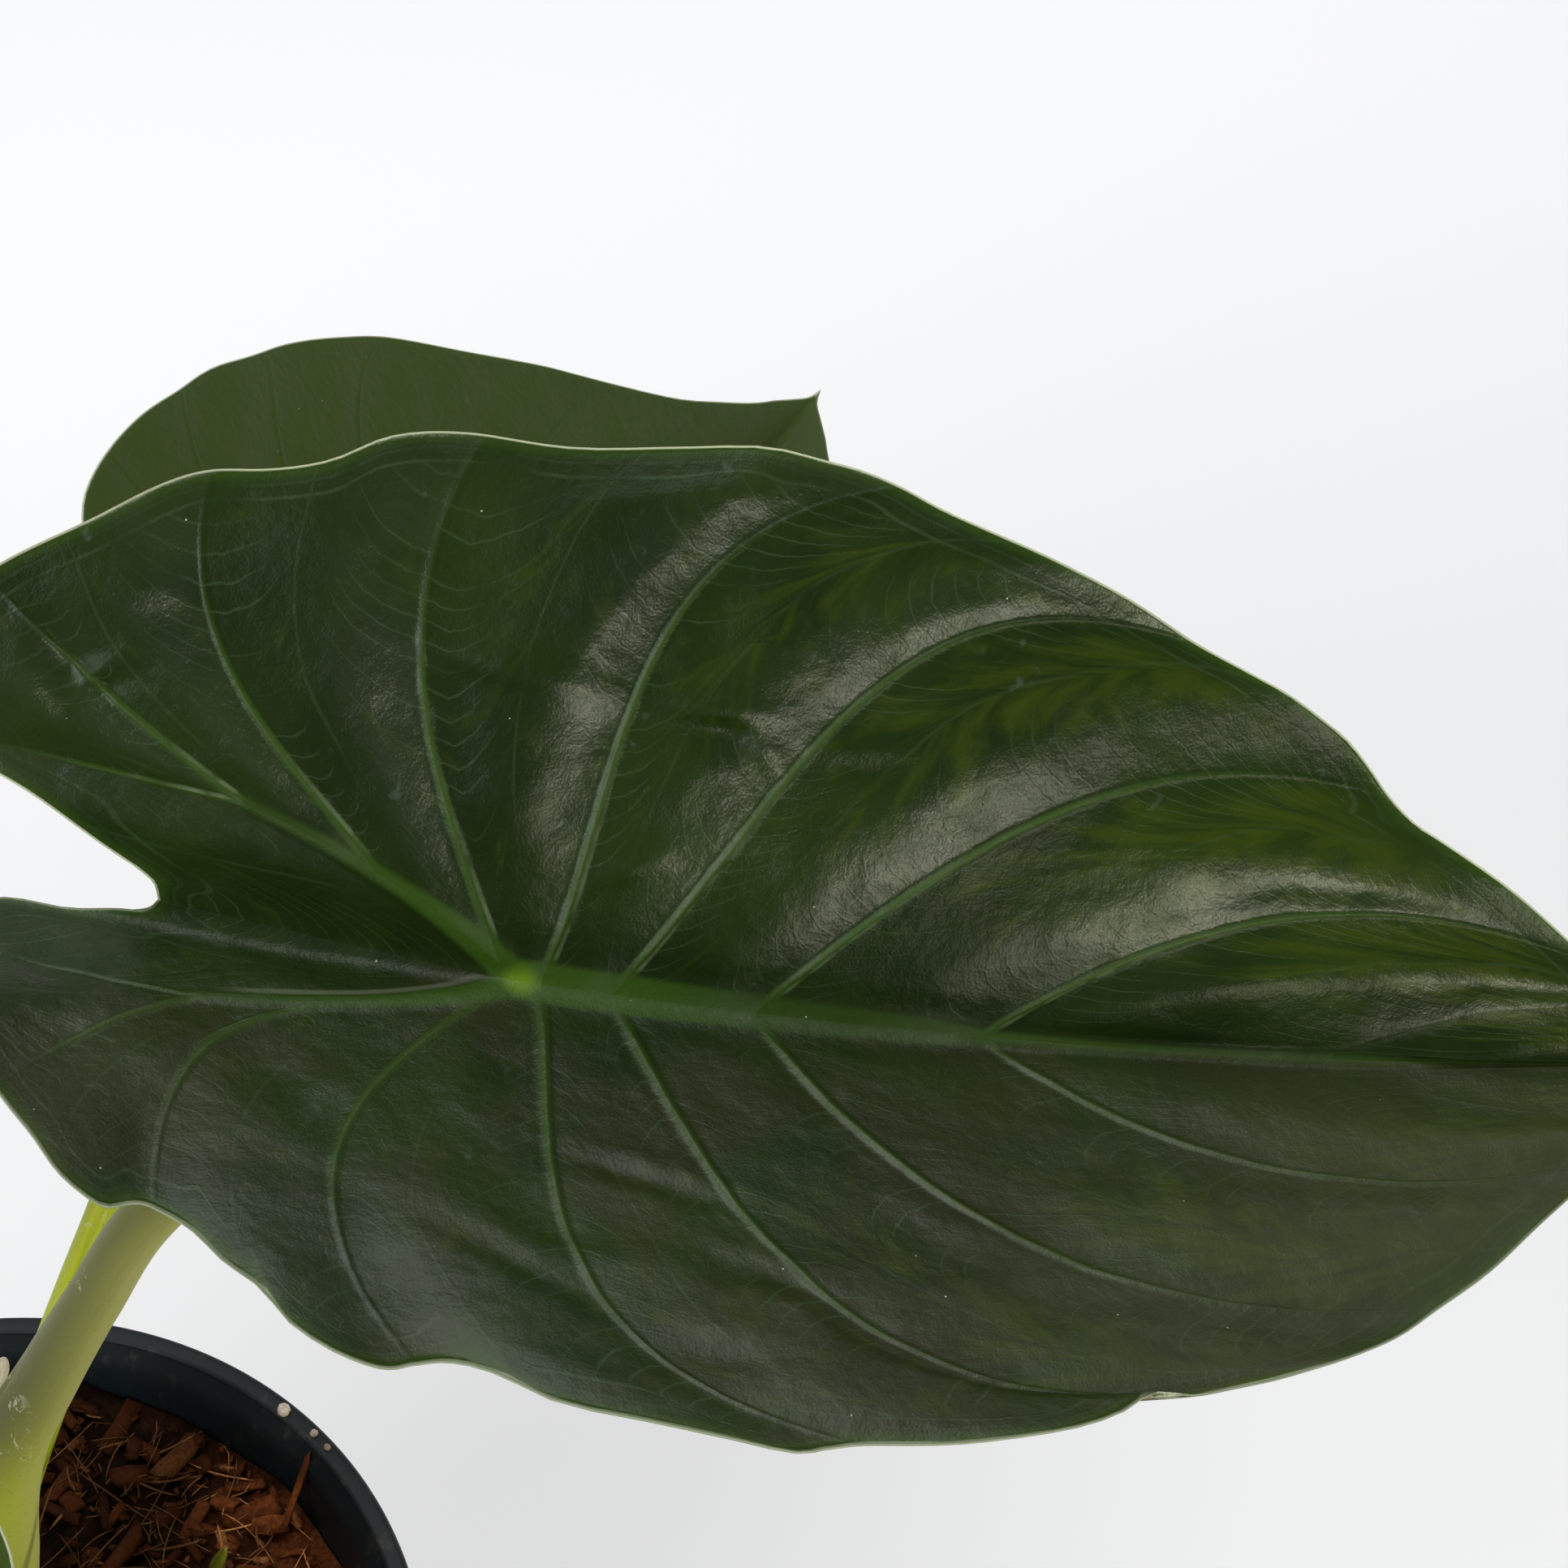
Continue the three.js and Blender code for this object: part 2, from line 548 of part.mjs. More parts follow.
// Soil body with coir chips sunk in its top, and a hole for each stem
function soilGeometry(stems) {
  const skin = new Skin();
  const foot = FOOT_RAISE + FLOOR_THICKNESS + GAP;
  const rings = [];
  for (let ring = 0; ring <= SOIL_RINGS + 1; ring += 1) {
    const points = [];
    for (let sector = 0; sector < POT_SIDES; sector += 1) {
      const angle = 2 * Math.PI * sector / POT_SIDES;
      const [c, s] = [Math.cos(angle), Math.sin(angle)];
      const edge = innerRadius(SOIL_LEVEL) - 2 * GAP;
      const radius = edge * Math.min(ring, SOIL_RINGS) / SOIL_RINGS;
      let [r, height] = [radius, soilHeight(radius * c, radius * s)];
      if (ring === SOIL_RINGS) r = innerRadius(height) - GAP;
      if (ring > SOIL_RINGS) [r, height] = [innerRadius(foot) - GAP, foot];
      points.push(skin.point(new THREE.Vector3(r * c, r * s, height)));
    }
    rings.push(points);
  }
  const centre = skin.point(new THREE.Vector3(0, 0, foot));
  for (let sector = 0; sector < POT_SIDES; sector += 1) {
    const next = (sector + 1) % POT_SIDES;
    for (let ring = 0; ring <= SOIL_RINGS; ring += 1) {
      const [a, b] = [rings[ring], rings[ring + 1]];
      skin.quad(a[sector], b[sector], b[next], a[next]);
    }
    skin.triangle(centre, rings.at(-1)[next], rings.at(-1)[sector]);
  }
  let soil = solid(skin.geometry());
  const random = randomNumbers(41);
  for (let chip = 0; chip < CHIP_COUNT; chip += 1) {
    const angle = 2 * Math.PI * (chip * TURN_SHARE + 0.06 * random());
    const radius = CHIP_FIELD[0] + (CHIP_FIELD[1] - CHIP_FIELD[0]) * Math.sqrt((chip + 0.5) / CHIP_COUNT);
    const [x, y] = [radius * Math.cos(angle), radius * Math.sin(angle)];
    const [length, width, height] = [0.7 + 0.8 * random(), 0.5 + 0.5 * random(), 0.5 + 0.4 * random()];
    const block = new THREE.BoxGeometry(CHIP_SIZE * length, CHIP_SIZE * width, CHIP_SIZE * height)
      .rotateX(CHIP_TILT * (random() - 0.5))
      .rotateY(CHIP_TILT * (random() - 0.5))
      .rotateZ(2 * Math.PI * random())
      .translate(x, y, soilHeight(x, y) - CHIP_SUNK);
    soil = soil.add(solid(block));
  }
  for (const stem of stems) soil = soil.subtract(solid(stem));
  return geometryOf(soil);
}

// Corm: a column that is widest at its foot and carries a slender bud at its top
function cormGeometry(grow = 0) {
  const profile = [
    [CORM_RADIUS + 3, CORM_FOOT - grow], [CORM_RADIUS + 0.5, CORM_FOOT + 9 + grow],
    [CORM_RADIUS, CORM_FOOT + 14], [CORM_RADIUS - 0.5, CORM_FOOT + 38], [CORM_RADIUS - 1, CORM_TOP - 12],
    [CORM_RADIUS - 3, CORM_TOP - 4], [BUD_RADIUS, CORM_TOP], [0.8 * BUD_RADIUS, CORM_TOP + BUD_LENGTH / 2],
    [0.4 * BUD_RADIUS, CORM_TOP + 0.9 * BUD_LENGTH],
  ].map(([radius, height]) => new THREE.Vector2(radius + grow, height));
  const foot = new THREE.Vector2(0, CORM_FOOT - grow);
  const tip = new THREE.Vector2(0, CORM_TOP + BUD_LENGTH);
  return new THREE.LatheGeometry([foot, ...profile, tip], CORM_SIDES).rotateX(Math.PI / 2);
}

const group = new THREE.Group();

function add(name, geometry, material) {
  const mesh = new THREE.Mesh(geometry, material);
  mesh.name = name;
  group.add(mesh);
}

add('pot', potGeometry(), MATERIALS.pot);
for (const leaf of LEAVES) add(leaf.name, bladeGeometry(leaf), MATERIALS.blade);
for (const petiole of PETIOLES) add(petiole.name, petioleGeometry(petiole), MATERIALS.stem);
add('corm', geometryOf(solid(cormGeometry())), MATERIALS.corm);
const drySheath = (grow) => stemGeometry(SHEATH_ROUTE, SHEATH_WIDTHS, SMALL_STEM_SIDES, SHEATH_STEPS, grow);
add('dry_sheath', drySheath(0), MATERIALS.sheath);
const youngShoot = (grow) => stemGeometry(SHOOT_ROUTE, SHOOT_WIDTHS, SMALL_STEM_SIDES, SHOOT_STEPS, grow);
add('young_shoot', youngShoot(0), MATERIALS.shoot);

const stemsInSoil = PETIOLES.map((petiole) => petioleTube(petiole, GAP));
stemsInSoil.push(drySheath(GAP), youngShoot(GAP), cormGeometry(GAP));
add('soil', soilGeometry(stemsInSoil), MATERIALS.soil);

export default group;
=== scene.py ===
"""Looks of a potted Alocasia wentii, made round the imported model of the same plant.

Every piece is a surface worked out with numpy: a blade is a grid of rows between the rib and the
margin, a stem is a section carried along a route, and the pot is a turned profile. Tables hold
millimetres in the part's own frame, and meshes hold metres.
"""

import math

import bpy
import numpy as np
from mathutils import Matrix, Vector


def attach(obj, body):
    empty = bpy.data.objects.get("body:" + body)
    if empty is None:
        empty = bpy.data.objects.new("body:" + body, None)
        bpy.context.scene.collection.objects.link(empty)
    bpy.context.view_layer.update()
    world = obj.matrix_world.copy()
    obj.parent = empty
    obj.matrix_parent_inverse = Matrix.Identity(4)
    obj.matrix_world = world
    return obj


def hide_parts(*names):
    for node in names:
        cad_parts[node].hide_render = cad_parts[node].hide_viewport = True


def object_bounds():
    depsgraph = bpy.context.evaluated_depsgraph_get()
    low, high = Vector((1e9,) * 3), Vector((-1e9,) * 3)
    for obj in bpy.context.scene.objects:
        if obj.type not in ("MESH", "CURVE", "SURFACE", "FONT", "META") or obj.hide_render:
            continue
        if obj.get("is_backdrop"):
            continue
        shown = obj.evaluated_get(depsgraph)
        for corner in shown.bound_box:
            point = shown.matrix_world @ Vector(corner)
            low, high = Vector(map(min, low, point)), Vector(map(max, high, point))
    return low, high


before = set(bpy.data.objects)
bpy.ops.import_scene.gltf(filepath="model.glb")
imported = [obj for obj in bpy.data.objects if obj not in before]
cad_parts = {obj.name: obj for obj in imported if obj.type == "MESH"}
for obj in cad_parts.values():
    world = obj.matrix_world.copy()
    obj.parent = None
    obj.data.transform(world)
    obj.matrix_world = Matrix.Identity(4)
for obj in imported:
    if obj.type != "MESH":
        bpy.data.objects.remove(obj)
CAD_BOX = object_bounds()

bl_info = {
    "name": "Potted Alocasia Wentii",
    "version": (1, 0, 0),
    "blender": (4, 5, 0),
    "location": "3D View > Sidebar > Alocasia",
    "description": "Builds the blades, petioles, crown, soil and pot of a potted Alocasia wentii",
    "category": "Object",
}

MM = 0.001
WELD = 0.002

# Camera: where it stands, how far it looks down, and how long its lens is
CAMERA_PLACE = (165.9, -309.4, 757.6)
CAMERA_DOWN = 46.4
SENSOR = 36.0
FOCAL_SHARE = 4000 / 1932
CLIP_END = 20

# Floor
FLOOR_REACH = 20000
FLOOR_STEPS = 21
FLOOR_DROP = 0.05

# Pot
POT_HEIGHT = 165
RIM_RADIUS = 95
RIM_BAND = 4.6
LIP_HEIGHT = 13
FOOT_RADIUS = 67
FOOT_WIDTH = 6
FOOT_RAISE = 4
CENTRE_PAD_RADIUS = 13
POT_WALL = 1.9
FLOOR_THICKNESS = 2.2
DRAIN_HOLES = 6
DRAIN_RADIUS = 5
DRAIN_CIRCLE = 44
WALL_SLOPE = (RIM_RADIUS - RIM_BAND - FOOT_RADIUS) / POT_HEIGHT

# Soil
SOIL_LEVEL = 149
SOIL_RISE_BACK = 5.5
SOIL_FALL_RIGHT = 9
SOIL_LUMP = 1.6
SOIL_MARGIN = 0.4
SOIL_LUMPS = ((13, 1.1, 1), (6, 1.2, 2), (3, 0.9, 3), (1.5, 0.5, 4))
# How far the middles of bits lie from the stems' middles, and from the pot's middle at most
PETIOLE_CLEAR = 8.5
CORM_CLEAR = 1.5
SHEATH_SPOT = (11, 13)
SHEATH_CLEAR = 5
SHOOT_CLEAR = 3
CHIP_REACH = 84
FIBRE_REACH = 80
GRAIN_REACH = 78
GRAIN_COUNT = 26
# Crumbs on the pot's rim: place, height above the rim and radius
RIM_CRUMBS = [
    (59.5, 70.3, 0.9, 1.5), (66.5, 64.8, 0.5, 0.9), (69.6, 61.4, 0.5, 0.8), (-60, 68.5, 0.6, 1.0),
]
# Single bits of bark: their two ends, half width and half thickness
LARGE_BITS = [
    (60, 52, 150, 65.3, 60, 163, 0.7, 0.35), (8, 63, 146, 17, 69, 148, 3.6, 2.6),
    (50, 43, 146, 57, 41, 147, 1.8, 1.1), (-44, -30, 150, -36, -40, 152, 2.6, 1.6),
    (30, -52, 147, 38, -46, 148, 2.4, 1.5), (-60, 22, 152, -53, 31, 154, 2.2, 1.6),
]

# Blade, measured flat on a full-size leaf: rows run from the rib to the margin. Stations count
# them from the tip: 0 tip, 2 to 7 the main veins, 8 the back lobe's outer vein, 9 its inner
# vein, 10 the sinus. Each margin row: station, along the midrib, across it.
MARGIN = {
    "left": [
        (0, 200, 0), (0.25, 195.3, 1.6), (0.5, 191.3, 4.3), (1, 184, 9.5), (2, 171.5, 17.2),
        (2.5, 152.4, 30.9), (2.75, 141.8, 36.8), (2.88, 136.3, 39.7), (3, 131.5, 43.6),
        (3.12, 127.2, 48.1), (3.25, 122.6, 52.2), (3.38, 117.6, 55.2), (3.5, 112.7, 57.9),
        (3.75, 104.3, 61.4), (4, 95.1, 65), (4.25, 82.9, 70.4), (4.5, 69.3, 74.9),
        (4.75, 56.5, 78.4), (4.88, 50.3, 80.2), (5, 44, 82.4), (5.12, 37.5, 83.9),
        (5.25, 30.8, 84.5), (5.4, 22, 85), (5.6, 8, 82.8), (5.8, -7, 80.2), (6.05, -24, 79.3),
        (6.3, -35, 76.6), (6.55, -43.5, 71.3), (6.8, -52, 68.2), (7, -60, 66.3),
        (7.5, -76, 55.3), (8, -88, 45), (8.5, -95, 33.4), (9, -91, 21.8), (9.5, -73.8, 14.9),
        (9.8, -61.8, 8.9), (9.9, -57.4, 6.9), (9.96, -55, 5.2), (10, -54, 3),
    ],
    "right": [
        (0, 200, 0), (0.25, 195.3, 1.5), (0.5, 191.3, 4.4), (1, 184, 10), (2, 171, 19),
        (2.5, 153, 34), (2.75, 142.7, 42.5), (3, 132.1, 49.8), (3.25, 122.9, 56.8),
        (3.5, 114, 61.9), (3.75, 105.5, 65), (4, 96, 67.7), (4.12, 90, 69.6), (4.25, 84, 70.2),
        (4.38, 77.9, 74.8), (4.5, 71.5, 77.8), (4.62, 64.6, 79.6), (4.75, 56.7, 80.9),
        (5, 42, 81.8), (5.12, 38.1, 82.8), (5.25, 33.4, 84.2), (5.38, 24.3, 83), (5.5, 13.9, 81.5),
        (5.62, 4, 79.8), (5.75, -4, 75.4), (5.88, -9.7, 73.7), (6, -14, 74.5), (6.12, -17.1, 75.8),
        (6.25, -20.6, 75.9), (6.38, -25.3, 74.6), (6.5, -30.2, 71.5), (6.62, -34.1, 66.3),
        (6.75, -38.9, 62.3), (6.88, -43.6, 57.1), (7, -48.5, 54.5), (7.3, -55.5, 57.3),
        (7.5, -60.7, 54.5), (7.75, -65.8, 47.2), (8, -71, 40), (8.5, -80, 26.5), (9, -82, 11),
        (9.3, -77, 2), (9.6, -66, 0.7), (9.8, -59.4, -0.6), (9.9, -56.3, -1),
        (9.96, -54.7, -1.8), (10, -54, -3),
    ],
}
# How far each vein bows out of its chord, and how much more of that is near the margin
VEIN_BOW = {
    "left": [
        (0, 0, 0), (1, 0.08, 0), (2, 0.155, -0.01), (3, 0.163, 0.03), (4, 0.204, 0.1),
        (5, 0.18, 0.115), (6, 0.13, 0.06), (7, 0.12, 0.07), (8, 0.02, 0), (9, 0, 0), (10, 0, 0),
    ],
    "right": [
        (0, 0, 0), (1, 0.08, 0), (2, 0.159, -0.02), (3, 0.199, 0), (4, 0.244, 0.09),
        (5, 0.207, 0.11), (6, 0.22, 0.06), (7, 0.21, -0.03), (8, 0.06, 0), (9, -0.03, 0),
        (10, 0, 0),
    ],
}
# Where each row starts: millimetres along the midrib, or below zero the share of the back rib
ROW_START = [
    (0, 200), (1, 128), (2, 72), (3, 36), (4, 14), (5, 3), (5.9, 0), (6, -0.1), (7, -0.6),
    (8, -1), (9, -1), (10, 0),
]
BACK_RIB = {
    "left": ((-17, 13.5), (-45, 20.5)),
    "right": ((-15, 9.5), (-46, 14)),
}
EVENED_STEPS = (-0.5, -0.35, -0.2, 0, 0.2, 0.35, 0.5)
SIDES = {"left": 1, "right": -1}
MIDRIB = 200
RIB_HALF_WIDTH = [(0, 3.8), (30, 3.4), (64, 2.5), (74, 1.1), (120, 0.8), (200, 0.35)]
BACK_RIB_HALF_WIDTH = [(0, 2.6), (0.5, 1.3), (1, 0.9)]
RIB_CREST = 0.8
KEEL_DEPTH = 2.6
VEIN_CREST = 0.55
VEIN_KEEL = 1.1
VEIN_HALF_WIDTH = [
    (0, 0.05), (1, 0.1), (2, 0.75), (3, 0.9), (4, 0.95), (5, 0.95), (6, 0.95), (7, 0.85),
    (8, 0.8), (9, 0.45), (10, 0.05),
]
# Swelling between each vein and the next, from the tip to the sinus: its height as a share of
# their spacing at four shares of the row, and where its crest lies between the two veins, near
# the rib and near the margin
QUILT = [
    (0.09, 0.085, 0.085, 0.07, 0.7, 0.4), (0.045, 0.09, 0.08, 0.05, 0.75, 0.3),
    (0.02, 0.02, 0.075, 0.005, 0.4, 0.25), (0.03, 0.035, 0.025, 0.02, 0.35, 0.35),
    (0.005, 0.005, 0.055, 0.02, 0.35, 0.2), (0.005, 0.04, 0.07, 0.075, 0.8, 0.25),
    (0.01, 0.01, 0.03, 0.03, 0.25, 0.4), (0.02, 0.03, 0.04, 0.03, 0.5, 0.4),
    (0.03, 0.04, 0.04, 0.02, 0.5, 0.5), (0.02, 0.03, 0.02, 0.01, 0.5, 0.5),
]
SEAM = 0.62
THREAD_SPACING = 3.4
THREAD_SWEEP = (3, 16)
FOLD_HALF_WIDTH = 80
FOLD_SOFTNESS = 3
EDGE_THICKNESS = 0.45
INNER_THICKNESS = 0.35
FLAT_SPAN = 400
RIGHT_CODE = 20
# Lumps of the blade: width of a cell, height and seed. Rows are set closer beside the veins.
BLADE_LUMPS = ((24, 0.45, 1), (9, 0.31, 2), (4.5, 0.14, 4))
FINE_OFFSETS = (0.012, 0.026, 0.042, 0.062, 0.09, 0.13, 0.18, 0.24, 0.3, 0.36, 0.43)
FINE_COLUMNS = 85
PLAIN_OFFSETS = (0.02, 0.05, 0.1, 0.17, 0.26, 0.38)
PLAIN_COLUMNS = 62

# Dents and wrinkles of the large leaf: place on the flat blade, direction in degrees, half
# length, half width and height, and how deep the hollow beside it is as a share of the height
WRINKLES = [
    (20, 46.4, 2, 7, 2, 1.1, 0.9), (28.3, 42.2, -48, 6, 1.7, 1.0, 0.7),
    (19, 36, 28, 10, 4, 0.5, 0.2), (45, 43.5, 5, 6, 1.7, 0.55, 1.0),
    (12.3, 20.6, 36, 7, 2.2, 0.7, 0.3),
    (-13, 47.6, -6, 13, 2.3, 1.2, 0.4), (-74, 34.6, -60, 5, 2.6, -1.2, 0.5),
    (-69.5, 35, 45, 4, 1.6, 0.9, 0.5), (-65, 48.5, 0, 6, 2.5, 0.6, 0.4),
    (17, -37.6, -14, 13, 2, -0.6, 0.4), (33, -54, -18, 9, 2.2, -0.6, 0.4),
    (-3, -56, -28, 10, 2.4, -0.6, 0.4), (25, -69, 0, 7, 2.4, -0.5, 0.3),
    (60, -46, -24, 12, 3.6, -0.4, 0.3),
]

# Each leaf: joint with its petiole, azimuth and pitch of the midrib, roll, curvature of the
# midrib up and to the left in degrees per 100 mm, slope of the left and right halves beside the
# midrib and at the margin, size, widening, and the waves of the margin
LEAVES = {
    "leaf_1": dict(joint=(126.8, 0.4, 389.8), azimuth=2.5, pitch=-16, roll=0, lift=3, turn=3.5,
                   fold=(70, 44, 10, 6), size=1, wave=0.9, phase=0,
                   quilt={"left": 1, "right": 0.3}, wrinkles=WRINKLES, fine=True),
    "leaf_2": dict(joint=(80, 175, 277.5), azimuth=48.8, pitch=-32.1, roll=20.4, lift=12.8,
                   turn=15.8, fold=(42, 20, 27, 10), size=0.9, widen=1.035, wave=0.25, phase=2.1,
                   quilt={"left": 0.15, "right": 0.3}, wrinkles=[], fine=False),
    "leaf_3": dict(joint=(0.3, -110, 304), azimuth=250, pitch=-24, roll=-6, lift=-9, turn=-4,
                   fold=(34, 20, 30, 16), size=0.8, wave=1.3, phase=3.4,
                   quilt={"left": 0.7, "right": 0.7}, wrinkles=[], fine=False),
    "leaf_4": dict(joint=(-108, 78, 338), azimuth=148, pitch=-30, roll=8, lift=-7, turn=5,
                   fold=(38, 18, 34, 12), size=0.94, wave=1.4, phase=5.1,
                   quilt={"left": 0.7, "right": 0.7}, wrinkles=[], fine=False),
}

# Each petiole: its leaf, its route up to the blade, and its half widths in and across the plane
# that it leans in
PETIOLES = {
    "petiole_1": dict(
        leaf="leaf_1",
        route=[(16, 0, 124), (17, 0, 172), (20.7, 0, 222), (29.3, 0, 262), (39.8, 0, 285.5),
               (51.5, 0, 309), (63.9, 0, 332), (92, 0.2, 363)],
        widths=[(0, 5.4, 7.2), (0.17, 6, 7.6), (0.35, 7.3, 7.4), (0.5, 6, 6.2), (0.62, 5, 5),
                (0.8, 4.3, 4.4), (1, 4.2, 4.6)]),
    "petiole_2": dict(
        leaf="leaf_2",
        route=[(-2, 16, 124), (4, 32, 170), (22.5, 58, 213), (34, 74, 237), (48, 104, 260),
               (63, 138, 272)],
        widths=[(0, 5.2, 6), (0.25, 6, 6.2), (0.5, 4.7, 4.8), (0.8, 4.2, 4.3), (1, 4, 4.4)]),
    "petiole_3": dict(
        leaf="leaf_3",
        route=[(-5, -15.2, 124), (-5.5, -21, 190), (-5, -44, 250), (-3.5, -77, 287)],
        widths=[(0, 5.2, 6.4), (0.3, 6, 6.6), (0.55, 4.6, 4.8), (0.8, 4, 4), (1, 3.8, 4)]),
    "petiole_4": dict(
        leaf="leaf_4",
        route=[(-14, 7.6, 124), (-20, 12, 190), (-42, 29, 258), (-74, 53, 308)],
        widths=[(0, 5.4, 6.6), (0.3, 6.2, 6.8), (0.55, 4.8, 5), (0.8, 4.2, 4.3), (1, 4, 4.4)]),
}
KEEL_REACH = 2.4
SHEATH_OPEN_TO = 0.56

# Crown: corm with its bud, dry sheath and young shoot
CORM_RADIUS = 9.5
CORM_FOOT = 112
CORM_TOP = 178
BUD_RADIUS = 3.2
BUD_LENGTH = 29
SHEATH_ROUTE = [(11.2, 11.2, 124), (10.5, 15, 180), (13, 19, 225), (19, 21, 248), (25, 20.5, 260)]
SHEATH_WIDTHS = [
    (0, 3.2, 3.4), (0.5, 3.6, 4.6), (0.85, 3, 4.4), (0.96, 1.9, 2.7), (0.985, 1.3, 1.8), (1, 0.4, 0.5),
]
SHOOT_ROUTE = [(45, 44, 130), (46, 44, 146), (49, 43.5, 155)]
SHOOT_WIDTHS = [(0, 2, 2), (0.6, 1.9, 1.9), (0.9, 1, 1), (1, 0.3, 0.3)]

# Colours of small marks on the blades; the sheen beside the veins, the highlight on the back rib and the
# lit margin are painted light
BRIGHT_RIB = (0.045, 0.115, 0.006)
PAINTED_VEIN_SHEEN = (0.17, 0.23, 0.13)
PAINTED_RIB_HIGHLIGHT = (0.16, 0.19, 0.11)
RESIDUE = (0.15, 0.2, 0.19)
DUST = (0.5, 0.48, 0.4)
LIT_MARGIN = (0.05, 0.11, 0.012)
DULL_TIP = (0.07, 0.085, 0.035)

# Colours of small marks on the petioles, and of the crown; the outer side's tint is painted light, and
# the lines of the sheath's edge and of the slit are painted shade
PAINTED_SIDE_LIGHT = (0.43, 0.42, 0.13)
SHEATH_EDGE_SHADE = (0.1, 0.12, 0.02)
SLIT_SHADE = (0.06, 0.075, 0.02)
SPECK = (0.13, 0.1, 0.05)
SCRATCH = (0.55, 0.58, 0.42)
STEM_FOOT = (0.3, 0.19, 0.1)
CORM_SCAR = (0.2, 0.13, 0.06)
SHEATH_DARK = (0.2, 0.1, 0.07)
SHEATH_LIGHT = (0.5, 0.3, 0.2)
SHEATH_TIP = (0.72, 0.66, 0.5)

# Colours of the pot's dust, of the grains, and of the light
POT_DUST = (0.16, 0.14, 0.12)
GRAIN_DARK = (0.3, 0.2, 0.14)
GRAIN_LIGHT = (0.62, 0.56, 0.5)
GRAIN_PALE = (0.8, 0.8, 0.78)
WARM_LIGHT = (0.98, 0.95, 0.72)
ROOM_LIGHT = (1, 0.965, 0.9)


def straight(table, keys):
    """Values between the rows of a table along straight lines, held at its ends."""
    rows = np.array(table, float)
    return np.stack([np.interp(keys, rows[:, 0], column) for column in rows[:, 1:].T], -1)


def smooth(table, keys):
    """Values along a cubic curve through the rows of a table. The slope at a row is the mean of
    the slopes beside it, each weighted by the other one's step."""
    rows = np.array(table, float)
    place, values = rows[:, 0], rows[:, 1:]
    steps = np.diff(place)[:, None]
    rises = np.diff(values, axis=0) / steps
    inner = (rises[:-1] * steps[1:] + rises[1:] * steps[:-1]) / (steps[1:] + steps[:-1])
    slopes = np.concatenate([rises[:1], inner, rises[-1:]])
    row = np.clip(np.searchsorted(place, keys, side="right") - 1, 0, len(place) - 2)
    span = steps[row]
    x = (np.asarray(keys) - place[row])[..., None] / span
    return (values[row] * (2 * x**3 - 3 * x**2 + 1) + slopes[row] * span * (x**3 - 2 * x**2 + x)
            + values[row + 1] * (3 * x**2 - 2 * x**3) + slopes[row + 1] * span * (x**3 - x**2))


def unit(vectors):
    """Vectors scaled to length one."""
    return vectors / np.maximum(np.linalg.norm(vectors, axis=-1, keepdims=True), 1e-9)


def bell(distance, reach):
    """One at distance zero, falling along a cosine squared to zero at the reach."""
    return np.cos(np.pi / 2 * np.clip(np.abs(distance) / reach, 0, 1)) ** 2


def lattice_noise(spots, cell, seed):
    """Soft lumps from -1 to 1. Each corner of a lattice of cells gets a height from its whole
    numbers and the seed, and the heights are blended with a smooth step along each axis."""
    scaled = spots / cell
    corner = np.floor(scaled).astype(np.int64)
    part = scaled - corner
    part = part * part * (3 - 2 * part)
    total = np.zeros(spots.shape[:-1])
    for bits in range(2 ** spots.shape[-1]):
        weight = 1.0
        mixed = np.full(spots.shape[:-1], seed * 7919 + 17, np.int64)
        for axis in range(spots.shape[-1]):
            step = bits >> axis & 1
            weight = weight * (part[..., axis] if step else 1 - part[..., axis])
            mixed = (mixed ^ (corner[..., axis] + step) * 2654435761) * 1103515245 & 0xFFFFFFFF
            mixed = mixed ^ mixed >> 15
        total += weight * ((mixed & 0xFFFF) / 32767.5 - 1)
    return total


def grid_quads(rows, columns, start=0, flip=False):
    """Corners of the quads of a grid whose points are counted row by row from a start."""
    index = start + np.arange(rows * columns).reshape(rows, columns)
    quads = np.stack([index[:-1, :-1], index[1:, :-1], index[1:, 1:], index[:-1, 1:]], -1)
    quads = quads.reshape(-1, 4)
    return quads[:, ::-1] if flip else quads


def strip_quads(first, second):
    """Quads between two rows of point numbers of the same length."""
    return np.stack([first[:-1], second[:-1], second[1:], first[1:]], -1)


def make_piece(name, points, quads, maps=None, materials=(), material_of=None, node=None):
    """Mesh object from points in millimetres and quads. Points in one place are shared, and a
    quad with two corners in one place becomes a triangle. Each map gives a value to a corner."""
    keys = np.round(points / WELD).astype(np.int64)
    _, first, place = np.unique(keys, axis=0, return_index=True, return_inverse=True)
    welded = place.reshape(-1)[quads]
    double = welded == np.roll(welded, -1, axis=1)
    kept = double.sum(1) <= 1
    corners = ~double & kept[:, None]
    loops = welded[corners]
    source = quads[corners]
    sizes = corners.sum(1)[kept]
    mesh = bpy.data.meshes.new(name)
    mesh.vertices.add(len(first))
    mesh.vertices.foreach_set("co", (points[first] * MM).astype(np.float32).ravel())
    mesh.loops.add(len(loops))
    mesh.loops.foreach_set("vertex_index", loops.astype(np.int32))
    mesh.polygons.add(len(sizes))
    mesh.polygons.foreach_set("loop_start", (np.cumsum(sizes) - sizes).astype(np.int32))
    mesh.polygons.foreach_set("use_smooth", np.ones(len(sizes), bool))
    for material in materials:
        mesh.materials.append(material)
    if material_of is not None:
        mesh.polygons.foreach_set("material_index", material_of[kept].astype(np.int32))
    mesh.update(calc_edges=True)
    for title, values in (maps or {}).items():
        if title == "flat":
            layer = mesh.uv_layers.new(name=title)
            layer.data.foreach_set("uv", values[source].astype(np.float32).ravel())
        else:
            layer = mesh.attributes.new(title, "FLOAT_VECTOR", "CORNER")
            layer.data.foreach_set("vector", values[source].astype(np.float32).ravel())
    mesh.validate()
    piece = bpy.data.objects.new(name, mesh)
    bpy.context.scene.collection.objects.link(piece)
    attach(piece, "root")
    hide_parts(node or name)
    return piece


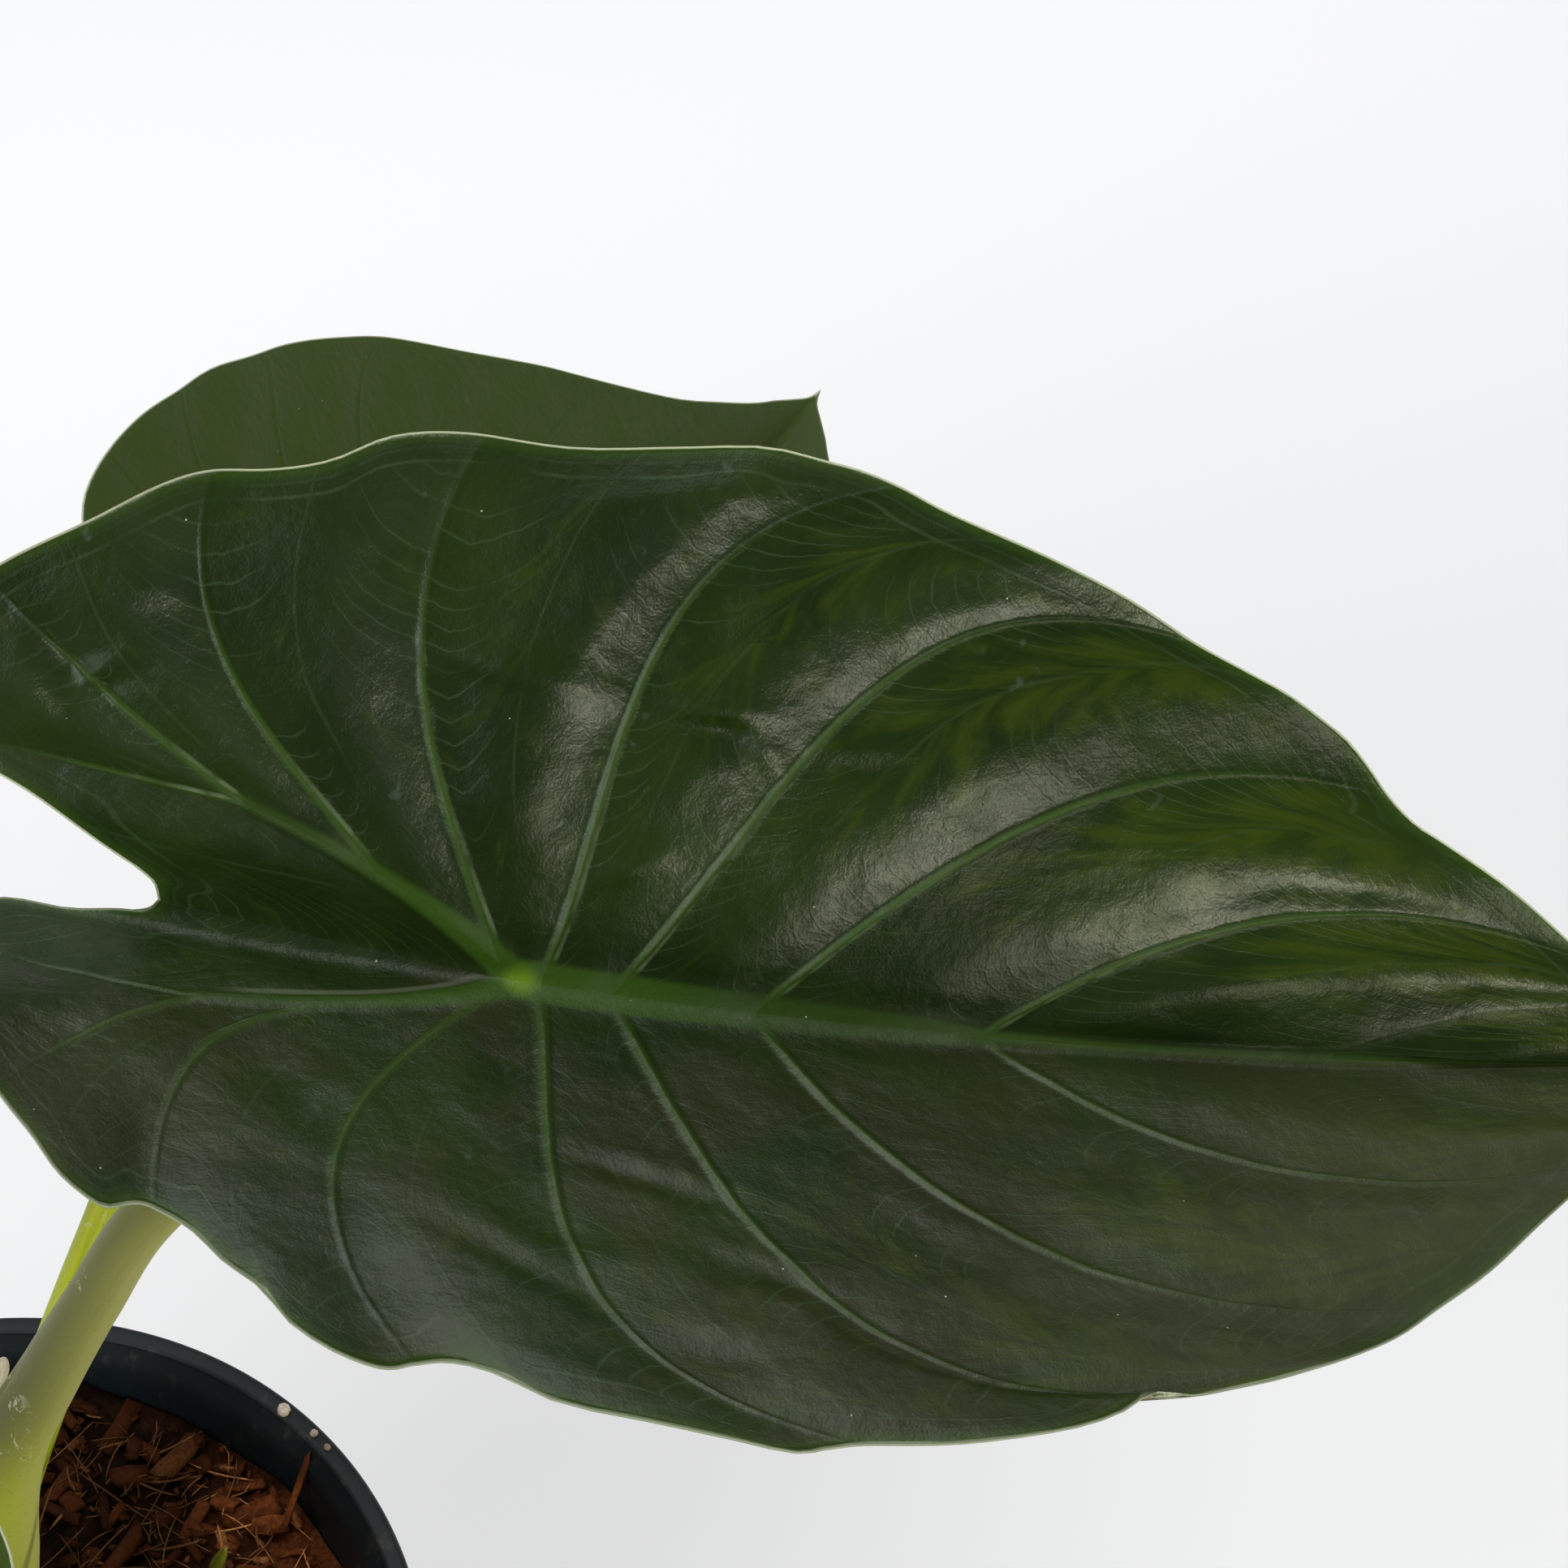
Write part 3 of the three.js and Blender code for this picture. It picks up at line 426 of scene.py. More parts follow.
class Finish:
    """Material with one Principled surface, whose nodes are put in one after another."""

    def __init__(self, name, **surface):
        self.material = bpy.data.materials.new(name)
        self.material.use_nodes = True
        self.tree = self.material.node_tree
        self.surface = self.tree.nodes["Principled BSDF"]
        for socket, value in surface.items():
            self.surface.inputs[socket.replace("_", " ")].default_value = value

    def put(self, kind, settings=None, sockets=None):
        """Adds a node with its settings, and feeds its sockets with values or links."""
        node = self.tree.nodes.new(kind)
        for key, value in (settings or {}).items():
            setattr(node, key, value)
        for socket, value in (sockets or {}).items():
            self.feed(node.inputs[socket], value)
        return node

    def feed(self, socket, value):
        """Links a socket to another node's output, or sets its value."""
        if isinstance(value, bpy.types.NodeSocket):
            self.tree.links.new(value, socket)
        else:
            socket.default_value = value

    def math(self, operation, *values):
        """Result of an operation on one value, or on several from the first to the last."""
        total = values[0]
        for value in values[1:] or (0.0,):
            total = self.put("ShaderNodeMath", {"operation": operation}, {0: total, 1: value}).outputs[0]
        return total

    def spread(self, value, low, high):
        """Goes from low to high while the value goes from zero to one."""
        return self.put("ShaderNodeMapRange", None, {0: value, 3: low, 4: high}).outputs[0]

    def near(self, value, centre, outer, inner, top=1.0):
        """Rises smoothly to the top as the value comes from an outer to an inner distance of a
        centre."""
        gap = self.math("ABSOLUTE", self.math("SUBTRACT", value, centre))
        return self.step(gap, outer, inner, top)

    def split(self, vector):
        """The three parts of a vector."""
        return self.put("ShaderNodeSeparateXYZ", None, {0: vector}).outputs

    def step(self, value, low, high, top=1.0):
        """Rises smoothly from zero to the top while the value goes from low to high."""
        return self.put("ShaderNodeMapRange", {"interpolation_type": "SMOOTHSTEP"},
                        {0: value, 1: low, 2: high, 3: 0.0, 4: top}).outputs[0]

    def blend(self, factor, low, high, way="MIX"):
        """Colour between two colours."""
        return self.put("ShaderNodeMix", {"data_type": "RGBA", "blend_type": way},
                        {0: factor, 6: low, 7: high}).outputs[2]

    def attribute(self, title):
        """A map as a vector, and its three parts."""
        values = self.put("ShaderNodeAttribute", {"attribute_name": title}).outputs["Vector"]
        return values, self.split(values)

    def scaled(self, vector, scale, shift=(0, 0, 0)):
        """Vector stretched along each axis and moved."""
        return self.put("ShaderNodeMapping", None,
                        {"Vector": vector, "Scale": scale, "Location": shift}).outputs[0]

    def place(self):
        """Place on the object, in metres."""
        return self.put("ShaderNodeTexCoord").outputs["Object"]

    def noise(self, vector, scale, detail=2.0, roughness=0.5, distortion=0.0):
        """Noise from 0 to 1 at a scale."""
        return self.put("ShaderNodeTexNoise", None,
                        {"Vector": vector, "Scale": scale, "Detail": detail,
                         "Roughness": roughness, "Distortion": distortion}).outputs[0]

    def spots(self, vector, scale, size):
        """One inside round spots that lie about one to a cell, and zero between them."""
        cells = self.put("ShaderNodeTexVoronoi", None, {"Vector": vector, "Scale": scale})
        return self.step(cells.outputs["Distance"], size, size * 0.6)

    def bump(self, height, distance, strength=1.0, onto=None):
        """Relief from a height in millimetres."""
        sockets = {"Height": height, "Distance": distance * MM, "Strength": strength}
        if onto is not None:
            sockets["Normal"] = onto
        return self.put("ShaderNodeBump", None, sockets).outputs[0]

    def finish(self, colour, roughness=None, normal=None):
        """Feeds the surface, and gives the material back."""
        self.feed(self.surface.inputs["Base Color"], colour)
        if roughness is not None:
            self.feed(self.surface.inputs["Roughness"], roughness)
        if normal is not None:
            self.feed(self.surface.inputs["Normal"], normal)
        return self.material


def colour_property(name, description, default):
    """Colour setting."""
    return bpy.props.FloatVectorProperty(name=name, description=description, default=default,
                                         subtype="COLOR", size=3, min=0, max=1)


def opaque(colour, tone=1):
    """Colour with full cover, made lighter or darker by a tone."""
    return (*(tone * part for part in colour), 1)


def toned(colour, tone):
    """Colour made lighter or darker."""
    return [tone * part for part in colour]


def grid_piece(name, grid, material, node, maps=None, flip=False):
    """Piece of one grid of points with maps of the same rows and columns."""
    maps = {title: values.reshape(-1, values.shape[-1]) for title, values in (maps or {}).items()}
    quads = grid_quads(*grid.shape[:2], flip=flip)
    return make_piece(name, grid.reshape(-1, 3), quads, maps, [material], node=node)


# Blade

def row_start(side, station):
    """Start of a row on the midrib or on the back rib, a quadratic curve with one bend point."""
    along = straight(ROW_START, station)[..., 0]
    share = np.clip(-along, 0, 1)[..., None]
    bend, end = (np.array(point, float) for point in BACK_RIB[side])
    back = 2 * share * (1 - share) * bend + share**2 * end
    front = np.stack([np.maximum(along, 0), 0 * along], -1)
    return np.where((along >= 0)[..., None], front, back)


def margin(side, station, evened):
    """Point of the margin. An evened outline is the mean over nearby stations, away from the tip
    and the sinus."""
    point = smooth(MARGIN[side], station)
    if not evened:
        return point
    near = [smooth(MARGIN[side], np.clip(station + step, 0, 10)) for step in EVENED_STEPS]
    weight = np.clip(np.minimum(station - 0.6, 9 - station), 0, 1)[..., None]
    return point + (np.mean(near, 0) - point) * weight


def flat_blade(side, station, share, evened=False):
    """Place on the flat blade: from the row's start to the margin, pushed out of that chord by
    four times share times its rest times the bow. The right half is mirrored."""
    start = row_start(side, station)
    chord = margin(side, station, evened) - start
    bow = straight(VEIN_BOW[side], station)
    out = 4 * share * (1 - share) * (bow[..., 0] + bow[..., 1] * (2 * share - 1))
    turned = np.stack([-chord[..., 1], chord[..., 0]], -1)
    spot = start + chord * share[..., None] + turned * out[..., None]
    return spot * (1, SIDES[side])


def path_distance(spots, path):
    """Distance to the nearest of a path's straight pieces, and the share of the path there."""
    start, edge = path[:-1], np.diff(path, axis=0)
    part = ((spots[..., None, :] - start) * edge).sum(-1) / (edge**2).sum(-1)
    part = np.clip(part, 0, 1)
    gap = np.linalg.norm(spots[..., None, :] - start - edge * part[..., None], axis=-1)
    nearest = gap.argmin(-1)
    pick = np.take_along_axis(part, nearest[..., None], -1)[..., 0]
    return gap.min(-1), (nearest + pick) / len(edge)


def rib_relief(spots):
    """Crest of the upper side, keel of the lower side and distance from the ribs' flanks. Each
    rib is a bell over its tapering half width, and the highest of the three counts."""
    shares = np.linspace(0, 1, 25)[:, None]
    paths = [(np.array([(0, 0), (MIDRIB, 0)], float), RIB_HALF_WIDTH, MIDRIB, 0.75)]
    for side, sign in SIDES.items():
        bend, end = (np.array(point, float) * (1, sign) for point in BACK_RIB[side])
        path = 2 * shares * (1 - shares) * bend + shares**2 * end
        paths.append((path, BACK_RIB_HALF_WIDTH, 1, 0.5))
    crest = keel = 0
    flank = 1e3
    for path, half_widths, scale, loss in paths:
        gap, along = path_distance(spots, path)
        taper = 1 - loss * along
        half = straight(half_widths, along * scale)[..., 0]
        crest = np.maximum(crest, RIB_CREST * taper * bell(gap, 1.5 * half + 0.6))
        keel = np.maximum(keel, KEEL_DEPTH * taper * bell(gap, 1.2 * half + 1) ** 0.7)
        flank = np.minimum(flank, gap - half)
    return crest, keel, flank


def fold_slope(across, fold):
    """Slope of the folded halves at a distance from the midrib, in radians, which changes from
    one side to the other by a smooth step over the midrib."""
    outward = np.abs(across) / FOLD_HALF_WIDTH
    left = fold[0] + (fold[1] - fold[0]) * outward
    right = -(fold[2] + (fold[3] - fold[2]) * outward)
    x = np.clip((across / FOLD_SOFTNESS + 1) / 2, 0, 1)
    return np.radians(right + (left - right) * x * x * (3 - 2 * x))


def place_blade(leaf, spots, lift):
    """Point in space: the midrib is a gently bent line, the distance across it is summed along
    the slope of the folded half, and the lift goes along the blade's normal."""
    azimuth, pitch, roll = (math.radians(leaf[key]) for key in ("azimuth", "pitch", "roll"))
    ahead = np.array([math.cos(pitch) * math.cos(azimuth), math.cos(pitch) * math.sin(azimuth),
                      math.sin(pitch)])
    leftward = np.array([-math.sin(azimuth), math.cos(azimuth), 0])
    leftward = leftward * math.cos(roll) + np.cross(ahead, leftward) * math.sin(roll)
    upward = np.cross(ahead, leftward)
    curve = (upward * math.radians(leaf["lift"]) + leftward * math.radians(leaf["turn"])) / 100
    along, across = spots[..., 0], spots[..., 1]
    tangent = unit(ahead + curve * along[..., None])
    sideways = unit(leftward - tangent * (tangent @ leftward)[..., None])
    normal = np.cross(tangent, sideways)
    steps = np.linspace(-130, 130, 1041)
    middles = fold_slope((steps[1:] + steps[:-1]) / 2, leaf["fold"])
    width = steps[1] - steps[0]
    out, up = (np.concatenate([[0], np.cumsum(wave(middles) * width)]) for wave in (np.cos, np.sin))
    centre = len(steps) // 2
    slope = fold_slope(across, leaf["fold"])
    out = np.interp(across, steps, out - out[centre]) - lift * np.sin(slope)
    up = np.interp(across, steps, up - up[centre]) + lift * np.cos(slope)
    point = (ahead * along[..., None] + curve * (along**2 / 2)[..., None]
             + sideways * out[..., None] + normal * up[..., None])
    return np.array(leaf["joint"]) + leaf["size"] * point


def wrinkle_relief(wrinkles, spots):
    """Sum of long low bells, each with a hollow beside it on the side towards the midrib."""
    height = np.zeros(spots.shape[:-1])
    for u, v, degrees, length, width, rise, hollow in wrinkles:
        turn = math.radians(degrees)
        x, y = spots[..., 0] - u, spots[..., 1] - v
        along = (x * math.cos(turn) + y * math.sin(turn)) / length
        beside = (y * math.cos(turn) - x * math.sin(turn)) * np.sign(v) / width
        profile = np.exp(-beside**2) - hollow * np.exp(-(beside + 1.7) ** 2)
        height += rise * np.exp(-along**2) * profile
    return height


def quilt_relief(station, share):
    """Height of the swelling between veins over their spacing: it climbs from one vein to its
    crest by a smooth step and falls to the next vein by another."""
    rows = np.array(QUILT)
    cell = np.minimum(np.floor(station), len(QUILT) - 1).astype(int)
    part = station - np.floor(station)
    knot = np.clip((share - 0.05) / 0.3, 0, 3)
    first = np.minimum(knot, 2).astype(int)
    change = (knot - first) ** 2 * (3 - 2 * (knot - first))
    rise = rows[cell, first] * (1 - change) + rows[cell, first + 1] * change
    crest = rows[cell, 4] + (rows[cell, 5] - rows[cell, 4]) * np.clip((share - 0.15) / 0.6, 0, 1)
    up = np.clip(part / crest, 0, 1)
    down = np.clip((part - crest) / (1 - crest), 0, 1)
    swell = rise * (up**2 * (3 - 2 * up) - down**2 * (3 - 2 * down))
    return swell * np.clip(share / 0.08, 0, 1) * np.clip((1 - share) / 0.12, 0, 1)


def blade_half(leaf, side, offsets, columns):
    """Grids of the upper and lower side of half a blade with their maps. The lift of the upper
    side sums the ribs, the veins, the swelling between veins, fine threads, wrinkles, lumps and
    the margin's waves."""
    steps = np.array([0, *offsets, 0.5, *(1 - np.array(offsets[::-1]))])
    stations = np.concatenate([vein + steps for vein in range(10)] + [[10]])
    station, share = np.meshgrid(stations, np.linspace(0, 1, columns) ** 1.25, indexing="ij")
    widen = (1, leaf.get("widen", 1))
    place = lambda station, share: widen * flat_blade(side, station, share, not leaf["fine"])
    spots = place(station, share)
    small = 0.004
    along = place(np.minimum(station + small, 10), share)
    along = along - place(np.maximum(station - small, 0), share)
    outward = place(station, share + small) - place(station, share - small)
    along, outward = along / (2 * small), outward / (2 * small)
    area = np.abs(along[..., 0] * outward[..., 1] - along[..., 1] * outward[..., 0])
    spacing = area / np.maximum(np.linalg.norm(outward, axis=-1), 1e-3)
    inside = (1 - share) * area / np.maximum(np.linalg.norm(along, axis=-1), 1e-3)
    length = np.linalg.norm(place(station, 0 * share + 1) - place(station, 0 * share), axis=-1)
    near_vein = np.round(station)
    vein_gap = np.abs(station - near_vein) * spacing
    vein_half = straight(VEIN_HALF_WIDTH, near_vein)[..., 0] * (1 - 0.74 * share)
    part = station - np.floor(station)
    number = sum(map(ord, leaf["name"]))
    seam = SEAM + 0.05 * lattice_noise(spots, 16, number + 3)
    middle = np.clip(np.where(part < seam, part / seam, (1 - part) / (1 - seam)), 0, 1)
    sweep = np.where(part < seam, 1, 0.6) * (THREAD_SWEEP[0] * middle + THREAD_SWEEP[1] * middle**3)
    threads = (share * length - sweep) / THREAD_SPACING + 0.35 * lattice_noise(spots, 15, number)
    crest, keel, flank = rib_relief(spots)
    off_rib = np.clip(flank / 5 + 0.1, 0, 1)
    on_vein = bell(vein_gap, 1.3 * vein_half) * (1 - share) ** 0.5 * off_rib
    beside_vein = bell(vein_gap - 2 * vein_half, 1.2 * vein_half) * (1 - share) * off_rib
    vein_share = straight(VEIN_HALF_WIDTH, near_vein)[..., 0] / 0.95
    swell = leaf["quilt"][side] * spacing * quilt_relief(station, share)
    open_blade = np.sin(np.pi * np.clip(share, 0, 1)) ** 0.6 * np.clip(flank / 6, 0, 1)
    lumps = sum(size * lattice_noise(spots, cell, number + seed) for cell, size, seed in BLADE_LUMPS)
    lumps += 0.025 * np.cos(2 * np.pi * threads) * np.clip(vein_gap / 3, 0, 1)
    wave = leaf["wave"] * -np.cos(2 * np.pi * station + 0.6 * leaf["phase"])
    wave += 1.6 * leaf["wave"] * np.sin(1.7 * station + leaf["phase"])
    wave *= np.minimum(1, np.minimum(station, 10 - station)) * share**3
    sheet = swell + wave + lumps * open_blade + wrinkle_relief(leaf["wrinkles"], spots)
    veins = VEIN_CREST * vein_share * on_vein - 0.1 * vein_share * beside_vein
    upper = sheet + crest + veins
    thickness = EDGE_THICKNESS + INNER_THICKNESS * np.clip(inside / 4, 0, 1)
    lower = sheet - thickness - keel - VEIN_KEEL * vein_share * on_vein
    code = station + (0 if side == "left" else RIGHT_CODE)
    bare = np.where(straight(VEIN_HALF_WIDTH, near_vein)[..., 0] < 0.15, 3, 0)
    maps = {
        "vein_map": np.stack([code, threads, vein_gap - vein_half + bare], -1),
        "seam_map": np.stack([(part - seam) * spacing, off_rib, middle], -1),
        "edge_map": np.stack([flank, inside, share], -1),
        "spot_map": np.stack([spots[..., 0], spots[..., 1], 0 * share + number], -1),
    }
    grids = [place_blade(leaf, spots, lift) for lift in (upper, lower)]
    flats = [spots / FLAT_SPAN + (0.3, 0.25 + 0.5 * layer) for layer in range(2)]
    return grids, maps, flats


def blade_piece(name, leaf, materials):
    """Closed blade: the upper and the lower grids of both halves, with a strip round the margin."""
    offsets, columns = ((FINE_OFFSETS, FINE_COLUMNS) if leaf["fine"]
                        else (PLAIN_OFFSETS, PLAIN_COLUMNS))
    leaf = dict(leaf, name=name)
    points, quads, sides = [], [], []
    maps = {"vein_map": [], "seam_map": [], "edge_map": [], "spot_map": [], "flat": []}
    count = 0
    for side, sign in SIDES.items():
        grids, half_maps, flats = blade_half(leaf, side, offsets, columns)
        edges = []
        for layer, grid in enumerate(grids):
            rows = len(grid)
            quads.append(grid_quads(rows, columns, count, flip=(sign > 0) != (layer == 1)))
            sides.append(np.full(len(quads[-1]), layer))
            edges.append(count + columns * np.arange(rows) + columns - 1)
            points.append(grid.reshape(-1, 3))
            maps["flat"].append(flats[layer].reshape(-1, 2))
            for title, values in half_maps.items():
                maps[title].append(values.reshape(-1, 3))
            count += rows * columns
        rim = strip_quads(*edges)
        quads.append(rim if sign < 0 else rim[:, ::-1])
        sides.append(np.zeros(len(rim)))
    maps = {title: np.concatenate(values) for title, values in maps.items()}
    return make_piece(name + "_blade", np.concatenate(points), np.concatenate(quads), maps,
                      materials, np.concatenate(sides), node=name)


class BladeFinish(Finish):
    """Leaf skin, whose nodes read the blade's own maps: the distances from the ribs, the veins,
    the seams and the margin, the count of the threads, and the place on the flat blade."""

    def __init__(self, look, upper, contrast):
        super().__init__("leaf_upper" if upper else "leaf_under", IOR=1.42 if contrast == 1 else 1.33)
        self.look, self.upper, self.contrast = look, upper, contrast
        self.vein_map, (self.station, self.threads, self.vein_gap) = self.attribute("vein_map")
        _, (self.flank, self.inside, self.share) = self.attribute("edge_map")
        _, (self.seam_gap, _, self.middle) = self.attribute("seam_map")
        self.spot_map, (self.ahead, _, _) = self.attribute("spot_map")
        self.right_half = self.step(self.station, RIGHT_CODE - 6, RIGHT_CODE - 5)
        self.on_rib = self.step(self.flank, 0.6, -0.8)
        fainter = self.math("SUBTRACT", 1, self.math("MULTIPLY", self.right_half, 0.3))
        self.on_vein = self.math("MULTIPLY", self.step(self.vein_gap, 0.35, -0.35, contrast),
                                 self.step(self.share, 0.95, 0.45), fainter)

    def ground(self):
        """Colour between the veins: two tones in broad noise, and above also yellow-green
        mottling between the threads and a bronze veil, strongest on the right half."""
        look = self.look
        broad = self.step(self.noise(self.spot_map, 0.035, 3), 0.3, 0.7)
        if not self.upper:
            return self.blend(broad, opaque(look.under_colour), opaque(look.under_light))
        base = self.blend(broad, opaque(look.deep_colour), opaque(look.blade_colour))
        streaks = self.noise(self.scaled(self.vein_map, (5, 0.5, 0)), 1.0, 3, 0.55)
        in_cell = self.math("MULTIPLY", self.near(self.seam_gap, 0, 17, 3),
                            self.step(self.share, 0.1, 0.55), self.step(self.ahead, -70, 130), 0.3)
        mottled = self.step(self.math("ADD", streaks, in_cell), 0.55, 0.95, 0.8)
        mottled = self.math("MULTIPLY", mottled, self.step(self.inside, 1, 9), self.contrast)
        base = self.blend(mottled, base, opaque(look.mottle_colour))
        side = self.math("ADD", self.math("MULTIPLY", self.right_half, 0.75), 0.1)
        bronze = self.step(self.noise(self.spot_map, 0.03, 3, 0.6, 0.8), 0.4, 0.65, 0.55)
        base = self.blend(self.math("MULTIPLY", bronze, side), base, opaque(look.bronze_colour))
        # Painted light: the other leaves get a lighter green for the more diffuse light that falls on
        # them.
        if self.contrast < 1:
            base = self.blend(0.8, base, opaque(look.painted_light_green))
        return base

    def fine_veins(self):
        """Lines between the veins: threads, some of them left out by a draw, the seam where they
        meet, and two lines along the margin."""
        wobble = self.math("SUBTRACT", self.noise(self.spot_map, 0.4, 1), 0.5)
        turn = self.math("ADD", self.threads, self.math("MULTIPLY", wobble, 0.3))
        number = self.put("ShaderNodeCombineXYZ", None, {
            0: self.math("FLOOR", turn), 1: self.math("FLOOR", self.station)}).outputs[0]
        draw = self.put("ShaderNodeTexWhiteNoise", {"noise_dimensions": "2D"}, {"Vector": number})
        loss = self.math("MULTIPLY", 0.7, self.math("POWER", self.middle, 3.0))
        kept = self.step(self.math("SUBTRACT", draw.outputs["Value"], loss), 0.0, 0.5)
        thread = self.math("MULTIPLY", self.near(self.math("FRACT", turn), 0.5, 0.08, 0.02), kept,
                           self.step(self.inside, 3.5, 6), self.step(self.middle, 0.9, 0.5))
        seam = self.math("MULTIPLY", self.near(self.seam_gap, 0, 0.35, 0.12),
                         self.step(self.share, 0.15, 0.4, 0.55))
        border = self.near(self.inside, 4.2, 0.35, 0.1)
        second = self.near(self.inside, 2.3, 0.3, 0.1, 0.5)
        return self.math("MAXIMUM", thread, seam, border, second)

    def veined(self, colour, fine):
        """Colour with the fine veins, the main veins and the ribs on it."""
        look = self.look
        vein, thread = ((look.vein_colour, look.thread_colour) if self.upper
                        else (look.under_vein, look.under_light))
        patchy = self.step(self.noise(self.spot_map, 0.09, 1), 0.25, 0.6)
        seen = self.math("MULTIPLY", fine, patchy, 0.55 * self.contrast)
        colour = self.blend(seen, colour, opaque(thread))
        colour = self.blend(self.on_vein, colour, opaque(vein))
        rib = opaque(vein)
        # Towards the tip the ribs take the veins' lighter green, partly their own colour and partly
        # painted light where the low light does not reach them.
        if self.upper:
            rib = self.blend(self.step(self.ahead, 40, 90), opaque(look.rib_colour), rib)
        return self.blend(self.on_rib, colour, rib)

    def marked(self, colour):
        """Colour with the small marks of the upper side: the bright ribs and heart round the petiole's
        joint, a painted sheen beside the left half's veins, a painted highlight on a flank of the right
        back rib, residue, dust, and painted light in the thin margin."""
        far = self.put("ShaderNodeVectorMath", {"operation": "LENGTH"},
                       {0: self.scaled(self.spot_map, (1, 1, 0))}).outputs["Value"]
        bright = self.math("MULTIPLY", self.step(far, 50, 8, 0.6), self.on_rib)
        heart = self.math("MULTIPLY", self.step(far, 4, 0.3), self.on_rib)
        # Painted sheen on the flanks of the left half's veins near the rib.
        vein_sheen = self.math("MULTIPLY", self.near(self.vein_gap, -0.15, 0.5, 0.1),
                          self.step(self.math("FRACT", self.station), 0.5, 0.6),
                          self.step(self.station, RIGHT_CODE - 5, RIGHT_CODE - 6),
                          self.step(self.share, 0.5, 0.05), self.step(self.flank, 0.2, 1.8),
                          self.step(self.noise(self.spot_map, 0.25, 2), 0.2, 0.7, 0.7))
        # Painted highlight along the flank of the right back rib.
        rib_highlight = self.math("MULTIPLY", self.near(self.flank, 0.8, 0.9, 0.2, 0.6),
                         self.step(self.station, RIGHT_CODE + 8.6, RIGHT_CODE + 9),
                         self.step(self.ahead, -46, -36), self.step(self.ahead, -4, -12))
        residue = self.math("MULTIPLY", self.step(self.noise(self.spot_map, 0.22, 4, 0.6), 0.64, 0.74),
                            self.step(self.noise(self.spot_map, 0.05, 0), 0.5, 0.7, 0.2))
        dust = self.spots(self.spot_map, 0.13, 0.025)
        thin = self.step(self.inside, 2.4, 0.2, 0.4)
        for share, tint in ((bright, BRIGHT_RIB), (heart, self.look.heart_colour), (vein_sheen, PAINTED_VEIN_SHEEN),
                            (rib_highlight, PAINTED_RIB_HIGHLIGHT), (residue, RESIDUE), (dust, DUST), (thin, LIT_MARGIN)):
            colour = self.blend(share, colour, opaque(tint))
        return colour

    def shine(self):
        """Specular level: high in cloudy strips just behind the veins, which fade towards the
        left half's outer margin, and elsewhere middling on the right half and low on the left."""
        behind = self.step(self.math("FRACT", self.station), 0.62, 0.25)
        outer = self.math("ADD", self.share, self.math("MULTIPLY", self.station, 0.3))
        outer = self.math("MULTIPLY", self.step(outer, 1.25, 1.65, 0.8),
                          self.step(self.station, 4.02, 3.98))
        cloudy = self.step(self.noise(self.spot_map, 0.13, 2, 0.6), 0.35, 0.6, 0.5)
        strips = self.math("MULTIPLY", behind, self.step(self.station, 0.7, 1.2),
                           self.math("SUBTRACT", 1, outer), self.math("ADD", cloudy, 0.5))
        level = self.math("MAXIMUM", strips, self.math("MULTIPLY", self.right_half, 0.6))
        return self.spread(level, 0.22, 0.72)


def blade_finish(look, upper, contrast):
    """Material of one side of a blade: its colours, a pale edge that is partly the margin's own colour
    and partly painted light, a roughness that is matt on ribs and veins, and a relief of crinkles, grain
    and fine veins. The large leaf's upper side also has its own shine."""
    skin = BladeFinish(look, upper, contrast)
    fine = skin.fine_veins()
    colour = skin.veined(skin.ground(), fine)
    if upper:
        colour = skin.marked(colour)
    # The pale edge is partly the margin's own colour and partly painted light, less of it on the right
    # half.
    edge = skin.math("SUBTRACT", 1, skin.math("MULTIPLY", skin.right_half, 0.55))
    edge = skin.math("MULTIPLY", skin.step(skin.inside, 0.42, 0.15), edge)
    colour = skin.blend(edge, colour, opaque(look.margin_colour))
    if upper:
        dull = skin.math("MULTIPLY", skin.step(skin.ahead, 40, 130, 0.3), skin.right_half)
        colour = skin.blend(dull, colour, opaque(DULL_TIP))
    if upper and contrast == 1:
        skin.feed(skin.surface.inputs["Specular IOR Level"], skin.shine())
    gloss = look.gloss if contrast == 1 else look.gloss + 0.16
    grain = skin.noise(skin.spot_map, 2.1, 3, 0.6)
    matt = skin.math("MULTIPLY", skin.math("MAXIMUM", skin.on_rib, skin.on_vein), 0.14)
    rough = skin.math("ADD", skin.spread(grain, gloss - 0.06, gloss + 0.1), matt)
    relief = skin.bump(skin.noise(skin.spot_map, 0.26, 2, 0.5), 0.3, 1.0)
    relief = skin.bump(grain, 0.11, 0.8, relief)
    relief = skin.bump(fine, 0.03 if upper else -0.3, 0.6, relief)
    return skin.finish(colour, rough, relief)


# Stems

